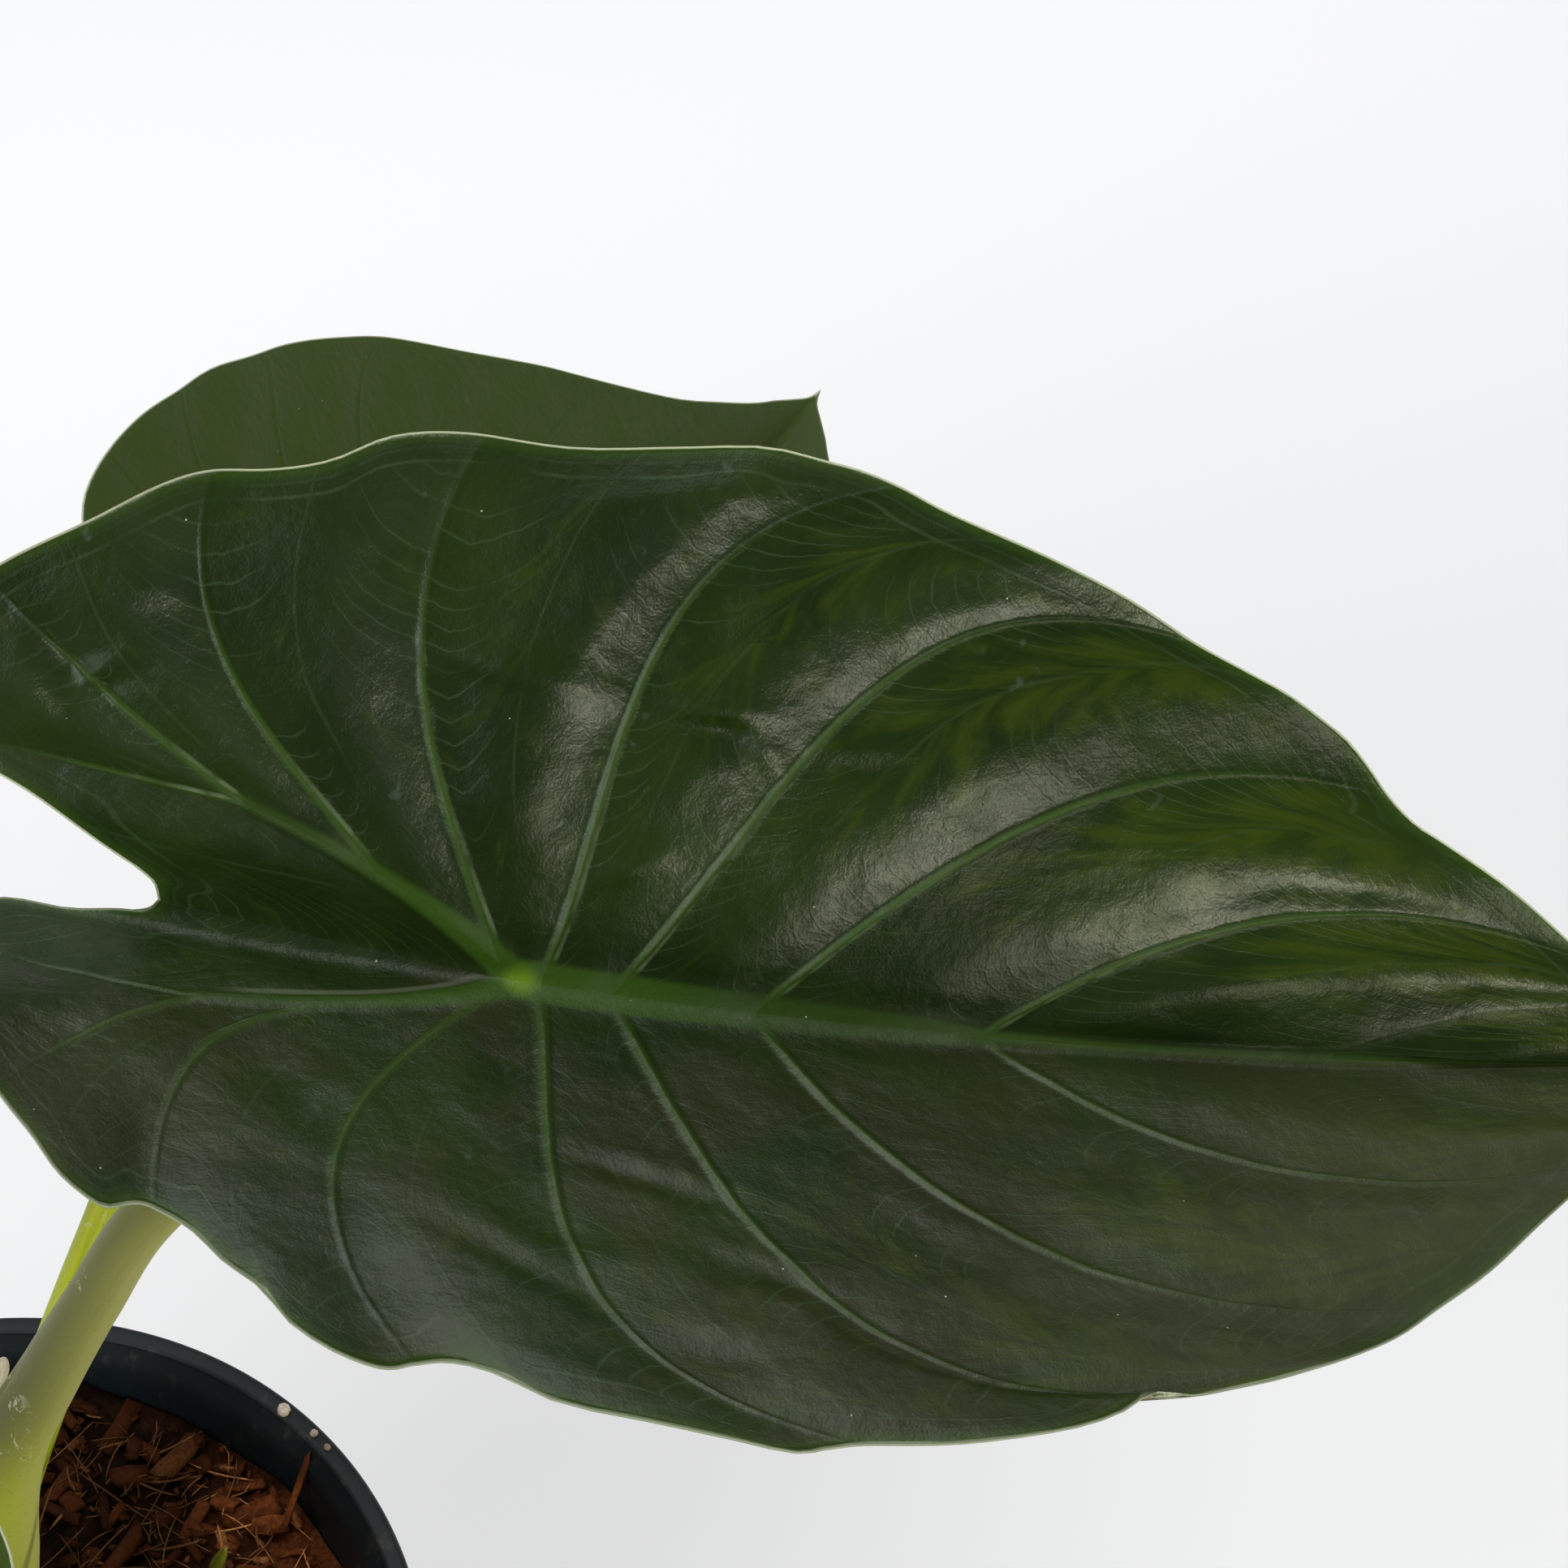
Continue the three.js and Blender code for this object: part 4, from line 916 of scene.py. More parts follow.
def route_points(route, count):
    """Even steps along a centripetal Catmull-Rom curve: between two points it is a cubic whose
    end slopes come from the neighbours, spaced by the square root of the chords."""
    knots = np.array(route, float)
    knots = np.concatenate([2 * knots[:1] - knots[1:2], knots, 2 * knots[-1:] - knots[-2:-1]])
    gaps = np.sqrt(np.linalg.norm(np.diff(knots, axis=0), axis=1))[:, None]
    x = np.linspace(0, 1, 60, endpoint=False)[:, None]
    pieces = []
    for i in range(1, len(knots) - 2):
        before, here, on, after = knots[i - 1:i + 3]
        a, b, c = gaps[i - 1], gaps[i], gaps[i + 1]
        start = ((here - before) / a - (on - before) / (a + b) + (on - here) / b) * b
        end = ((on - here) / b - (after - here) / (b + c) + (after - on) / c) * b
        pieces.append(here * (2 * x**3 - 3 * x**2 + 1) + start * (x**3 - 2 * x**2 + x)
                      + on * (3 * x**2 - 2 * x**3) + end * (x**3 - x**2))
    dense = np.concatenate([*pieces, knots[-2:-1]])
    run = np.concatenate([[0], np.cumsum(np.linalg.norm(np.diff(dense, axis=0), axis=1))])
    even = np.linspace(0, run[-1], count)
    points = np.stack([np.interp(even, run, axis) for axis in dense.T], -1)
    tangents = unit(np.gradient(points, axis=0))
    return points, tangents, run[-1]


def stem_piece(name, route, widths, material, rings, sides, shape=None, node=None):
    """Closed stem: an oval section carried along the route, its axes in and across the plane of
    the lean, scaled by a shape of the angle and the share of the length, with poles at both ends.
    Angle zero points where the stem leans to."""
    centres, tangents, length = route_points(route, rings)
    lean = np.array(route[-1], float) - np.array(route[0], float)
    lean = unit(lean * (1, 1, 0))
    across = np.array([-lean[1], lean[0], 0])
    across = unit(across - tangents * (tangents @ across)[:, None])
    ahead = np.cross(across, tangents)
    share = np.linspace(0, 1, rings)
    halves = straight(widths, share)
    angle = np.linspace(0, 2 * np.pi, sides + 1)
    radius = np.ones((rings, sides + 1)) if shape is None else shape(angle[None], share[:, None])
    in_plane = ahead[:, None] * (halves[:, :1] * np.cos(angle) * radius)[..., None]
    out_plane = across[:, None] * (halves[:, 1:] * np.sin(angle) * radius)[..., None]
    skin = centres[:, None] + in_plane + out_plane
    poles = np.repeat(centres[[0, -1], None], sides + 1, 1)
    grid = np.concatenate([poles[:1], skin, poles[1:]])
    grid[:, -1] = grid[:, 0]
    shares = np.concatenate([[0], share, [1]])
    around = np.broadcast_to(angle / (2 * np.pi), grid.shape[:2])
    along = np.broadcast_to(shares[:, None], grid.shape[:2])
    maps = {"stem_map": np.stack([around, along, along * length], -1),
            "flat": np.stack([around * 0.2, along * length / FLAT_SPAN], -1)}
    return grid_piece(name, grid, material, node, maps)


def petiole_shape(angle, share):
    """Radius share of a petiole: a slit with raised lips along its inner side where the sheath
    is open, a shallow channel above it, and faint ribs all round."""
    inner = np.angle(np.exp(1j * (angle - np.pi)))
    open_sheath = np.clip((SHEATH_OPEN_TO - share) / 0.06, 0, 1)
    slit = 0.16 * np.exp(-(inner / 0.1) ** 2) - 0.05 * np.exp(-((np.abs(inner) - 0.26) / 0.13) ** 2)
    channel = 0.04 * np.exp(-(inner / 0.5) ** 2)
    ribs = 0.003 * np.cos(17 * angle + 3 * share) + 0.002 * np.cos(29 * angle)
    return 1 - open_sheath * slit - (1 - open_sheath) * channel + ribs


def petiole_finish(name, colour, shade, lime, painted_sides=1.0):
    """Petiole skin: pale green with long streaks, by a share painted shade on its inner side and painted
    light on its outer side, brighter green towards the soil, partly its own colour and partly painted
    light where the large leaf shades it, then brown, with a painted shade line along the sheath's edge,
    painted shade in its slit, small specks and a few pale scratches."""
    skin = Finish(name, IOR=1.36, Subsurface_Weight=0.08)
    skin.surface.inputs["Subsurface Radius"].default_value = (0.6, 0.8, 0.2)
    skin.surface.inputs["Subsurface Scale"].default_value = 2 * MM
    stem_map, (around, along, _) = skin.attribute("stem_map")
    where = skin.place()
    streaks = skin.noise(skin.scaled(stem_map, (45, 0, 0.02)), 1.0, 3, 0.5)
    bands = skin.noise(skin.scaled(stem_map, (7, 0, 0.01)), 1.0, 1, 0.4)
    bands = skin.math("ADD", skin.step(bands, 0.3, 0.7, 0.4), 0.55)
    blotch = skin.noise(where, 45, 2)
    inner = skin.math("ABSOLUTE", skin.math("SUBTRACT", around, 0.5))
    # Painted shade on the inner side of the petiole.
    shaded = skin.math("MULTIPLY", skin.step(inner, 0.38, 0.1), skin.step(along, 0.4, 0.52, 0.8 * painted_sides))
    # Painted shade: a dark line along the sheath's edge.
    edge = skin.math("SUBTRACT", around, skin.math("MULTIPLY", along, 2.0))
    edge = skin.math("MULTIPLY", skin.near(edge, 0.17, 0.03, 0.006), skin.step(along, 0.42, 0.39, 0.65))
    # Painted shade in the slit of the open sheath.
    slit = skin.math("MULTIPLY", skin.step(inner, 0.02, 0.006), skin.step(along, 0.5, 0.4, 0.5))
    specks = skin.math("MULTIPLY", skin.spots(where, 700, 0.2), 0.35)
    marks = skin.noise(skin.scaled(where, (1, 1, 0.4)), 330, 4, 0.7, 1.5)
    scratches = skin.math("MULTIPLY", skin.step(marks, 0.6, 0.66), skin.step(blotch, 0.56, 0.64, 0.75))
    base = skin.blend(bands, opaque(shade), opaque(colour))
    for share, tint in ((skin.step(streaks, 0.35, 0.7, 0.35), colour),
                        # Lime lower down: partly the petiole's own green, partly painted light where the
                        # large leaf shades it.
                        (skin.step(along, 0.56, 0.42, 0.55), lime),
                        # Painted light on the outer side of the petiole.
                        (skin.step(inner, 0.26, 0.44, 0.55 * painted_sides), PAINTED_SIDE_LIGHT),
                        (shaded, toned(shade, 0.5)), (edge, SHEATH_EDGE_SHADE), (slit, SLIT_SHADE),
                        (specks, SPECK), (scratches, SCRATCH),
                        (skin.step(along, 0.14, 0.05, 0.6), STEM_FOOT)):
        base = skin.blend(share, base, opaque(tint))
    relief = skin.bump(streaks, 0.05, 0.5)
    relief = skin.bump(skin.noise(where, 1500, 2), 0.03, 0.6, relief)
    return skin.finish(base, skin.spread(blotch, 0.4, 0.55), relief)


# Settings

class PotLook(bpy.types.PropertyGroup):
    """Finish of the nursery pot."""

    colour: colour_property("Colour", "Colour of the pot's plastic", (0.005, 0.011, 0.0155))
    roughness: bpy.props.FloatProperty(
        name="Roughness", description="Roughness of the pot's plastic", default=0.5, min=0, max=1)
    sectors: bpy.props.IntProperty(
        name="Sectors", description="Steps round the pot", default=180, min=24, max=360)


class SoilLook(bpy.types.PropertyGroup):
    """Make-up of the soil."""

    dark_colour: colour_property("Dark", "Colour of the soil's gaps", (0.005, 0.0018, 0.0006))
    bark_colour: colour_property("Bark", "Colour of the bark chips", (0.19, 0.053, 0.014))
    coir_colour: colour_property("Coir", "Colour of the coir fibres", (0.62, 0.27, 0.095))
    chips: bpy.props.IntProperty(
        name="Chips", description="Number of bark chips", default=1700, min=0, max=3000)
    fibres: bpy.props.IntProperty(
        name="Fibres", description="Number of coir fibres", default=1700, min=0, max=4000)


class LeafLook(bpy.types.PropertyGroup):
    """Colours of the blades."""

    blade_colour: colour_property("Blade", "Green of the upper side", (0.017, 0.038, 0.0045))
    deep_colour: colour_property("Deep", "Darkest green of the upper side", (0.009, 0.022, 0.003))
    bronze_colour: colour_property("Bronze", "Brownish veil in the green", (0.034, 0.031, 0.011))
    # Painted light: a lighter green that gives the other leaves their more diffuse light.
    painted_light_green: colour_property("Soft", "Lighter green of the other leaves", (0.045, 0.08, 0.004))
    mottle_colour: colour_property("Mottling", "Yellow green of the cells", (0.04, 0.064, 0.003))
    vein_colour: colour_property("Veins", "Green of the veins", (0.036, 0.078, 0.009))
    rib_colour: colour_property("Rib", "Green of the ribs", (0.026, 0.06, 0.006))
    thread_colour: colour_property("Threads", "Green of the fine veins", (0.04, 0.075, 0.03))
    heart_colour: colour_property("Heart", "Green where the petiole joins", (0.14, 0.27, 0.01))
    margin_colour: colour_property("Margin", "Colour of the margin's edge", (0.6, 0.66, 0.46))
    under_colour: colour_property("Underside", "Bronze of the lower side", (0.075, 0.028, 0.026))
    under_light: colour_property("Underside tint", "Lighter bronze below", (0.12, 0.07, 0.045))
    under_vein: colour_property("Underside veins", "Colour of the keels", (0.24, 0.27, 0.11))
    gloss: bpy.props.FloatProperty(
        name="Roughness", description="Roughness of the upper side", default=0.32, min=0, max=1)


class StemLook(bpy.types.PropertyGroup):
    """Colours of the petioles and the crown."""

    colour: colour_property("Petiole", "Pale green of the petioles", (0.31, 0.31, 0.075))
    shade: colour_property("Shade", "Olive of the streaks", (0.17, 0.19, 0.035))
    lime: colour_property("Lime", "Brightest green of the petioles", (0.54, 0.62, 0.02))
    rings: bpy.props.IntProperty(
        name="Rings", description="Steps along a petiole", default=220, min=20, max=600)
    sides: bpy.props.IntProperty(
        name="Sides", description="Steps round a petiole", default=64, min=8, max=128)


class StageLook(bpy.types.PropertyGroup):
    """Floor and light."""

    floor_colour: colour_property("Floor", "Colour of the floor", (0.495, 0.5, 0.512))
    glow: bpy.props.FloatProperty(
        name="Floor glow", description="Light that the floor gives by itself", default=1.2, min=0)
    room: bpy.props.FloatProperty(
        name="Room light", description="Strength of the light from all round", default=0.4, min=0)
    top_power: bpy.props.FloatProperty(
        name="Top light", description="Power of the light overhead", default=22, min=0, unit="POWER")
    fill_power: bpy.props.FloatProperty(
        name="Fill light", description="Power of the light at the left", default=15, min=0,
        unit="POWER")
    low_power: bpy.props.FloatProperty(
        name="Low light", description="Power of the low light at the right", default=1.6, min=0,
        unit="POWER")


# Operators

def soil_height(x, y):
    """Top of the soil: a tilted plane with soft lumps."""
    lumps = np.sin(x / 9 + 1.3) * np.cos(y / 11 + 0.4) + 0.6 * np.sin(x / 5.3 - y / 6.7)
    return SOIL_LEVEL + SOIL_RISE_BACK * y / 85 - SOIL_FALL_RIGHT * x / 85 + SOIL_LUMP * lumps


def inner_radius(height):
    """Inside radius of the pot's wall at a height."""
    return FOOT_RADIUS - POT_WALL + WALL_SLOPE * height


def arc(centre, radius, start, end, count=6):
    """Points of a profile's rounding, from one angle in degrees to another."""
    turn = np.radians(np.linspace(start, end, count))
    return [(centre[0] + radius * math.cos(a), centre[1] + radius * math.sin(a)) for a in turn]


def turned(profile, sectors):
    """Grid of a profile of radius and height turned round the Z axis."""
    profile = np.array(profile, float)
    angle = np.linspace(0, 2 * np.pi, sectors + 1)
    ring = np.stack([np.cos(angle), np.sin(angle)], -1)
    grid = np.empty((len(profile), sectors + 1, 3))
    grid[..., :2] = profile[:, :1, None] * ring
    grid[..., 2] = profile[:, 1:]
    grid[:, -1] = grid[:, 0]
    return grid


class ALOCASIA_OT_pot(bpy.types.Operator):
    """Makes the nursery pot: a turned profile with a rolled-out rim, a raised foot and drain holes"""

    bl_idname = "alocasia.pot"
    bl_label = "Pot"

    def execute(self, context):
        look = context.scene.alocasia_pot
        skin = Finish("pot_plastic", IOR=1.42)
        where = skin.place()
        cloud = skin.noise(where, 25, 3)
        colour = skin.blend(cloud, opaque(look.colour, 0.8), opaque(look.colour, 1.2))
        dust = skin.noise(skin.scaled(where, (1, 1, 0.35)), 220, 4, 0.65)
        colour = skin.blend(skin.step(dust, 0.56, 0.75, 0.22), colour, opaque(POT_DUST))
        rough = skin.spread(cloud, look.roughness - 0.06, look.roughness + 0.08)
        relief = skin.bump(skin.noise(where, 1400, 2), 0.04, 0.5)
        plastic = skin.finish(colour, rough, relief)
        floor_top = FOOT_RAISE + FLOOR_THICKNESS
        lip_foot = POT_HEIGHT - LIP_HEIGHT
        outer = lambda height: inner_radius(height) + POT_WALL
        foot_in = FOOT_RADIUS - FOOT_WIDTH
        wall = [(outer(height), height) for height in np.linspace(3, lip_foot - 0.6, 24)]
        heights = np.linspace(POT_HEIGHT - 3, floor_top, 24)
        inside = [(inner_radius(height), height) for height in heights]
        profile = [
            (0, 0), (CENTRE_PAD_RADIUS - 0.4, 0), *arc((CENTRE_PAD_RADIUS, 0.8), 0.8, -90, -20, 4),
            (CENTRE_PAD_RADIUS + 1.5, FOOT_RAISE), (foot_in - 1.5, FOOT_RAISE),
            *arc((foot_in, 0.8), 0.8, 200, 270, 4), *arc((FOOT_RADIUS - 1.2, 1.2), 1.2, 270, 360, 5),
            *wall, (outer(lip_foot), lip_foot), *arc((RIM_RADIUS - 1.6, lip_foot + 2), 1.6, -80, 0),
            *arc((RIM_RADIUS - 1.4, POT_HEIGHT - 1.4), 1.4, 0, 90, 7),
            *arc((RIM_RADIUS - RIM_BAND + 1.1, POT_HEIGHT - 1.1), 1.1, 90, 180, 6), *inside,
            (0, floor_top),
        ]
        pot = grid_piece("nursery_pot", turned(profile, look.sectors), plastic, "pot", flip=True)
        low, high = -2, floor_top + 2
        drill = turned([(0, low), (DRAIN_RADIUS, low), (DRAIN_RADIUS, high), (0, high)], 32)
        drills = []
        for hole in range(DRAIN_HOLES):
            angle = 2 * math.pi * hole / DRAIN_HOLES
            drills.append(drill + (DRAIN_CIRCLE * math.cos(angle), DRAIN_CIRCLE * math.sin(angle), 0))
        self.cut_holes(pot, drills)
        return {"FINISHED"}

    @staticmethod
    def cut_holes(pot, drills):
        """Cuts the pot with closed drills by a boolean that is applied."""
        rows, columns = drills[0].shape[:2]
        points = np.concatenate([drill.reshape(-1, 3) for drill in drills]) * MM
        quads = np.concatenate([grid_quads(rows, columns, i * rows * columns, flip=True)
                                for i in range(len(drills))])
        mesh = bpy.data.meshes.new("drills")
        mesh.from_pydata(points.tolist(), [], quads.tolist())
        cutter = bpy.data.objects.new("drills", mesh)
        bpy.context.scene.collection.objects.link(cutter)
        bpy.context.view_layer.objects.active = cutter
        for item in bpy.context.selected_objects:
            item.select_set(False)
        cutter.select_set(True)
        bpy.ops.object.mode_set(mode="EDIT")
        bpy.ops.mesh.select_all(action="SELECT")
        bpy.ops.mesh.remove_doubles(threshold=0.01 * MM)
        bpy.ops.mesh.dissolve_degenerate(threshold=0.01 * MM)
        bpy.ops.mesh.normals_make_consistent(inside=False)
        bpy.ops.object.mode_set(mode="OBJECT")
        cut = pot.modifiers.new("drain_holes", "BOOLEAN")
        cut.operation = "DIFFERENCE"
        cut.solver = "EXACT"
        cut.object = cutter
        cutter.select_set(False)
        bpy.context.view_layer.objects.active = pot
        bpy.ops.object.modifier_apply(modifier=cut.name)
        bpy.data.objects.remove(cutter)
        bpy.data.meshes.remove(mesh)


def stem_bases():
    """Where the stems pass the soil's top, and how far chips keep away from them."""
    spots = []
    for petiole in PETIOLES.values():
        centres, _, _ = route_points(petiole["route"], 60)
        base = centres[np.abs(centres[:, 2] - SOIL_LEVEL).argmin()]
        spots.append((*base[:2], PETIOLE_CLEAR))
    spots += [(0, 0, CORM_RADIUS + CORM_CLEAR), (*SHEATH_SPOT, SHEATH_CLEAR),
              (*SHOOT_ROUTE[1][:2], SHOOT_CLEAR)]
    return np.array(spots)


def scatter(draw, count, reach):
    """Places on the soil that keep clear of the stems, drawn evenly over the disc."""
    tries = draw.random((count * 3, 2))
    radius = reach * np.sqrt(tries[:, 0])
    angle = 2 * np.pi * tries[:, 1]
    places = np.stack([radius * np.cos(angle), radius * np.sin(angle)], -1)
    bases = stem_bases()
    gaps = np.linalg.norm(places[:, None] - bases[:, :2], axis=-1) - bases[:, 2]
    return places[gaps.min(1) > 0][:count]


def turns(yaw, pitch, roll):
    """Turning matrices, one for each set of angles: roll about X, then pitch about Y, then yaw
    about Z."""
    cy, sy, cp, sp, cr, sr = (f(a) for a in (yaw, pitch, roll) for f in (np.cos, np.sin))
    rows = [[cy * cp, cy * sp * sr - sy * cr, cy * sp * cr + sy * sr],
            [sy * cp, sy * sp * sr + cy * cr, sy * sp * cr - cy * sr],
            [-sp, cp * sr, cp * cr]]
    return np.moveaxis(np.array(rows), -1, 0)


def cube_skin():
    """Points and quads of a cube's skin with two steps a side, from -1 to 1."""
    line = np.array([-1.0, 0.0, 1.0])
    a, b = np.meshgrid(line, line, indexing="ij")
    points, quads = [], []
    for axis in range(3):
        for end in (-1, 1):
            face = np.empty((3, 3, 3))
            face[..., axis] = end
            face[..., (axis + 1) % 3] = a
            face[..., (axis + 2) % 3] = b
            quads.append(grid_quads(3, 3, 9 * len(points), flip=end < 0))
            points.append(face.reshape(-1, 3))
    return np.concatenate(points), np.concatenate(quads)


class ALOCASIA_OT_soil(bpy.types.Operator):
    """Makes the soil: a lumpy body, bark chips, coir fibres and a few pale grains"""

    bl_idname = "alocasia.soil"
    bl_label = "Soil"

    def execute(self, context):
        look = context.scene.alocasia_soil
        self.body(look)
        draw = np.random.default_rng(23)
        self.chips(look, draw)
        self.fibres(look, draw)
        self.grains(draw)
        self.large_bits(look, draw)
        return {"FINISHED"}

    @staticmethod
    def finish(name, dark, light, pale):
        """Soil colours: two tones and a pale tint by each bit's own draw, painted light that makes them
        paler towards the right and painted shade that darkens them elsewhere, and darker in fine noise."""
        skin = Finish(name, IOR=1.2)
        _, (tone, tint, _) = skin.attribute("bit_map")
        where = skin.place()
        grain = skin.noise(where, 900, 3, 0.65)
        # The mask dry is painted light, not dryness: paler towards the right where the light falls, and
        # painted shade under the leaves elsewhere.
        dry = skin.math("MULTIPLY", skin.step(skin.split(where)[0], 0.035, 0.07),
                        skin.step(skin.noise(where, 60, 2), 0.3, 0.6, 2.8))
        tone = skin.math("MULTIPLY", skin.math("POWER", tone, 1.6), skin.math("ADD", dry, 0.35))
        colour = skin.blend(tone, opaque(dark), opaque(light))
        flecks = skin.math("MULTIPLY", skin.step(tint, 0.75, 1.0), skin.math("ADD", dry, 0.15))
        colour = skin.blend(flecks, colour, opaque(pale))
        colour = skin.blend(skin.math("MULTIPLY", dry, 0.22), colour, opaque(light, 2.6))
        colour = skin.blend(skin.step(grain, 0.35, 0.7, 0.6), colour, opaque(dark))
        return skin.finish(colour, skin.step(grain, -0.6, 0.8, 0.95), skin.bump(grain, 0.35, 0.8))

    def body(self, look):
        """Disc whose height is the soil's plane with lumps of four sizes, and a plain body below."""
        rings, sectors = 120, 260
        share = np.linspace(0, 1, rings) ** 0.8
        angle = np.linspace(0, 2 * np.pi, sectors + 1)
        edge = inner_radius(SOIL_LEVEL) - SOIL_MARGIN
        x = edge * share[:, None] * np.cos(angle)
        y = edge * share[:, None] * np.sin(angle)
        spots = np.stack([x, y], -1)
        lumps = sum(size * lattice_noise(spots, cell, seed) for cell, size, seed in SOIL_LUMPS)
        top = np.stack([x, y, soil_height(x, y) + lumps * 0.8 - 1.2], -1)
        rim = inner_radius(top[-1, :, 2]) - SOIL_MARGIN
        top[-1, :, :2] = np.stack([rim * np.cos(angle), rim * np.sin(angle)], -1)
        foot = FOOT_RAISE + FLOOR_THICKNESS + SOIL_MARGIN
        low = inner_radius(foot) - SOIL_MARGIN
        wall = np.stack([low * np.cos(angle), low * np.sin(angle), 0 * angle + foot], -1)
        base = np.stack([0 * angle, 0 * angle, 0 * angle + foot], -1)
        grid = np.concatenate([top, wall[None], base[None]])
        grid[:, -1] = grid[:, 0]
        tone = np.clip(0.35 + 0.5 * lattice_noise(grid[..., :2], 4, 9), 0, 1)
        maps = {"bit_map": np.stack([tone, 0 * tone, 0 * tone], -1)}
        material = self.finish("soil_body", look.dark_colour, toned(look.bark_colour, 0.55),
                               look.bark_colour)
        grid_piece("soil_body", grid, material, "soil", maps)

    @staticmethod
    def bits(name, places, shapes, quads, draw, material):
        """One mesh of many small shapes, each with its own tone and tint."""
        count, corners = shapes.shape[:2]
        points = shapes + places[:, None]
        all_quads = (quads[None] + corners * np.arange(count)[:, None, None]).reshape(-1, 4)
        tones = np.repeat(draw.random((count, 1, 3)), corners, 1)
        return make_piece(name, points.reshape(-1, 3), all_quads, {"bit_map": tones.reshape(-1, 3)},
                          [material], node="soil")

    def chips(self, look, draw):
        """Bark chips: cubes pulled to rounded splinters, turned and sunk a little in the soil."""
        skin, quads = cube_skin()
        spots = scatter(draw, look.chips, CHIP_REACH)
        count = len(spots)
        size = 0.6 + 3.0 * draw.random((count, 1, 1)) ** 3.6
        stretch = np.stack([0.9 + 1.3 * draw.random(count), 0.35 + 0.5 * draw.random(count),
                            0.25 + 0.35 * draw.random(count)], -1)[:, None]
        rounded = skin * (1 - 0.14 * (np.abs(skin).sum(1, keepdims=True) - 1) / 2)
        bumps = lattice_noise(skin[None] + 9.1 * np.arange(count)[:, None, None], 0.7, 31)
        shapes = rounded * (1 + 0.42 * bumps[..., None]) * stretch * size
        turn = turns(2 * np.pi * draw.random(count), 0.9 * (draw.random(count) - 0.5),
                     1.2 * (draw.random(count) - 0.5))
        shapes = np.einsum("nij,nkj->nki", turn, shapes)
        edge = inner_radius(SOIL_LEVEL) - 1
        far = np.linalg.norm(spots, axis=1) + size[:, 0, 0] * 1.9
        spots = spots * (edge / np.maximum(far, edge))[:, None]
        height = soil_height(spots[:, 0], spots[:, 1]) - 1.0 + 2.6 * draw.random(count)
        material = self.finish("bark", toned(look.bark_colour, 0.15), look.bark_colour,
                               look.coir_colour)
        self.bits("bark_chips", np.column_stack([spots, height]), shapes, quads, draw, material)

    def fibres(self, look, draw):
        """Coir fibres: thin three-sided tubes along random bent lines that hug the soil."""
        rings, sides = 8, 3
        spots = scatter(draw, look.fibres, FIBRE_REACH)
        count = len(spots)
        length = 3 + 19 * draw.random(count) ** 2.5
        heading = 2 * np.pi * draw.random(count)
        bend = 1.6 * (draw.random(count) - 0.5)
        rise = 0.5 * (draw.random(count) - 0.45)
        radius = 0.12 + 0.28 * draw.random(count) ** 2
        run = np.linspace(-0.5, 0.5, rings)
        course = heading[:, None] + bend[:, None] * run
        step = length[:, None] / (rings - 1)
        x, y = (spots[:, [axis]] + np.cumsum(wave(course) * step, 1)
                - (length * wave(heading))[:, None] / 2 for axis, wave in enumerate((np.cos, np.sin)))
        keep = np.minimum(1, (inner_radius(SOIL_LEVEL) - 1.5) / np.maximum(np.hypot(x, y), 1))
        x, y = x * keep, y * keep
        ground = soil_height(x, y)
        z = ground + 0.2 + 2.4 * draw.random((count, 1)) + rise[:, None] * length[:, None] * run
        z = np.maximum(z, ground - 0.6)
        centre = np.stack([x, y, z], -1)
        tangent = unit(np.gradient(centre, axis=1))
        sideways = unit(np.cross(tangent, (0, 0, 1.0)))
        upward = np.cross(sideways, tangent)
        angle = np.linspace(0, 2 * np.pi, sides + 1)
        taper = radius[:, None] * np.sqrt(np.clip(1.02 - (2 * run) ** 4, 0, 1))
        taper[:, [0, -1]] = 0
        tube = centre[:, :, None] + taper[..., None, None] * (
            sideways[:, :, None] * np.cos(angle)[:, None] + upward[:, :, None] * np.sin(angle)[:, None])
        tube[:, :, -1] = tube[:, :, 0]
        quads = grid_quads(rings, sides + 1, flip=True)
        material = self.finish("coir", toned(look.coir_colour, 0.12), look.coir_colour,
                               toned(look.coir_colour, 1.5))
        self.bits("coir_fibres", np.zeros((count, 3)), tube.reshape(count, -1, 3), quads, draw,
                  material)

    def grains(self, draw):
        """Pale grains on the soil and a few crumbs on the rim."""
        skin, quads = cube_skin()
        spots = scatter(draw, GRAIN_COUNT, GRAIN_REACH)
        height = soil_height(spots[:, 0], spots[:, 1]) + 1.0
        places = np.column_stack([spots, height])
        crumbs = np.array(RIM_CRUMBS)
        rim = crumbs[:, :3] + (0, 0, POT_HEIGHT)
        size = np.concatenate([0.5 + 0.8 * draw.random(len(spots)), crumbs[:, 3]])
        ball = skin / np.linalg.norm(skin, axis=1, keepdims=True)
        bumps = lattice_noise(skin[None] + 5.3 * np.arange(len(size))[:, None, None], 0.8, 77)
        shapes = ball * (1 + 0.2 * bumps[..., None]) * size[:, None, None]
        material = self.finish("grain", GRAIN_DARK, GRAIN_LIGHT, GRAIN_PALE)
        self.bits("pale_grains", np.concatenate([places, rim]), shapes, quads, draw, material)

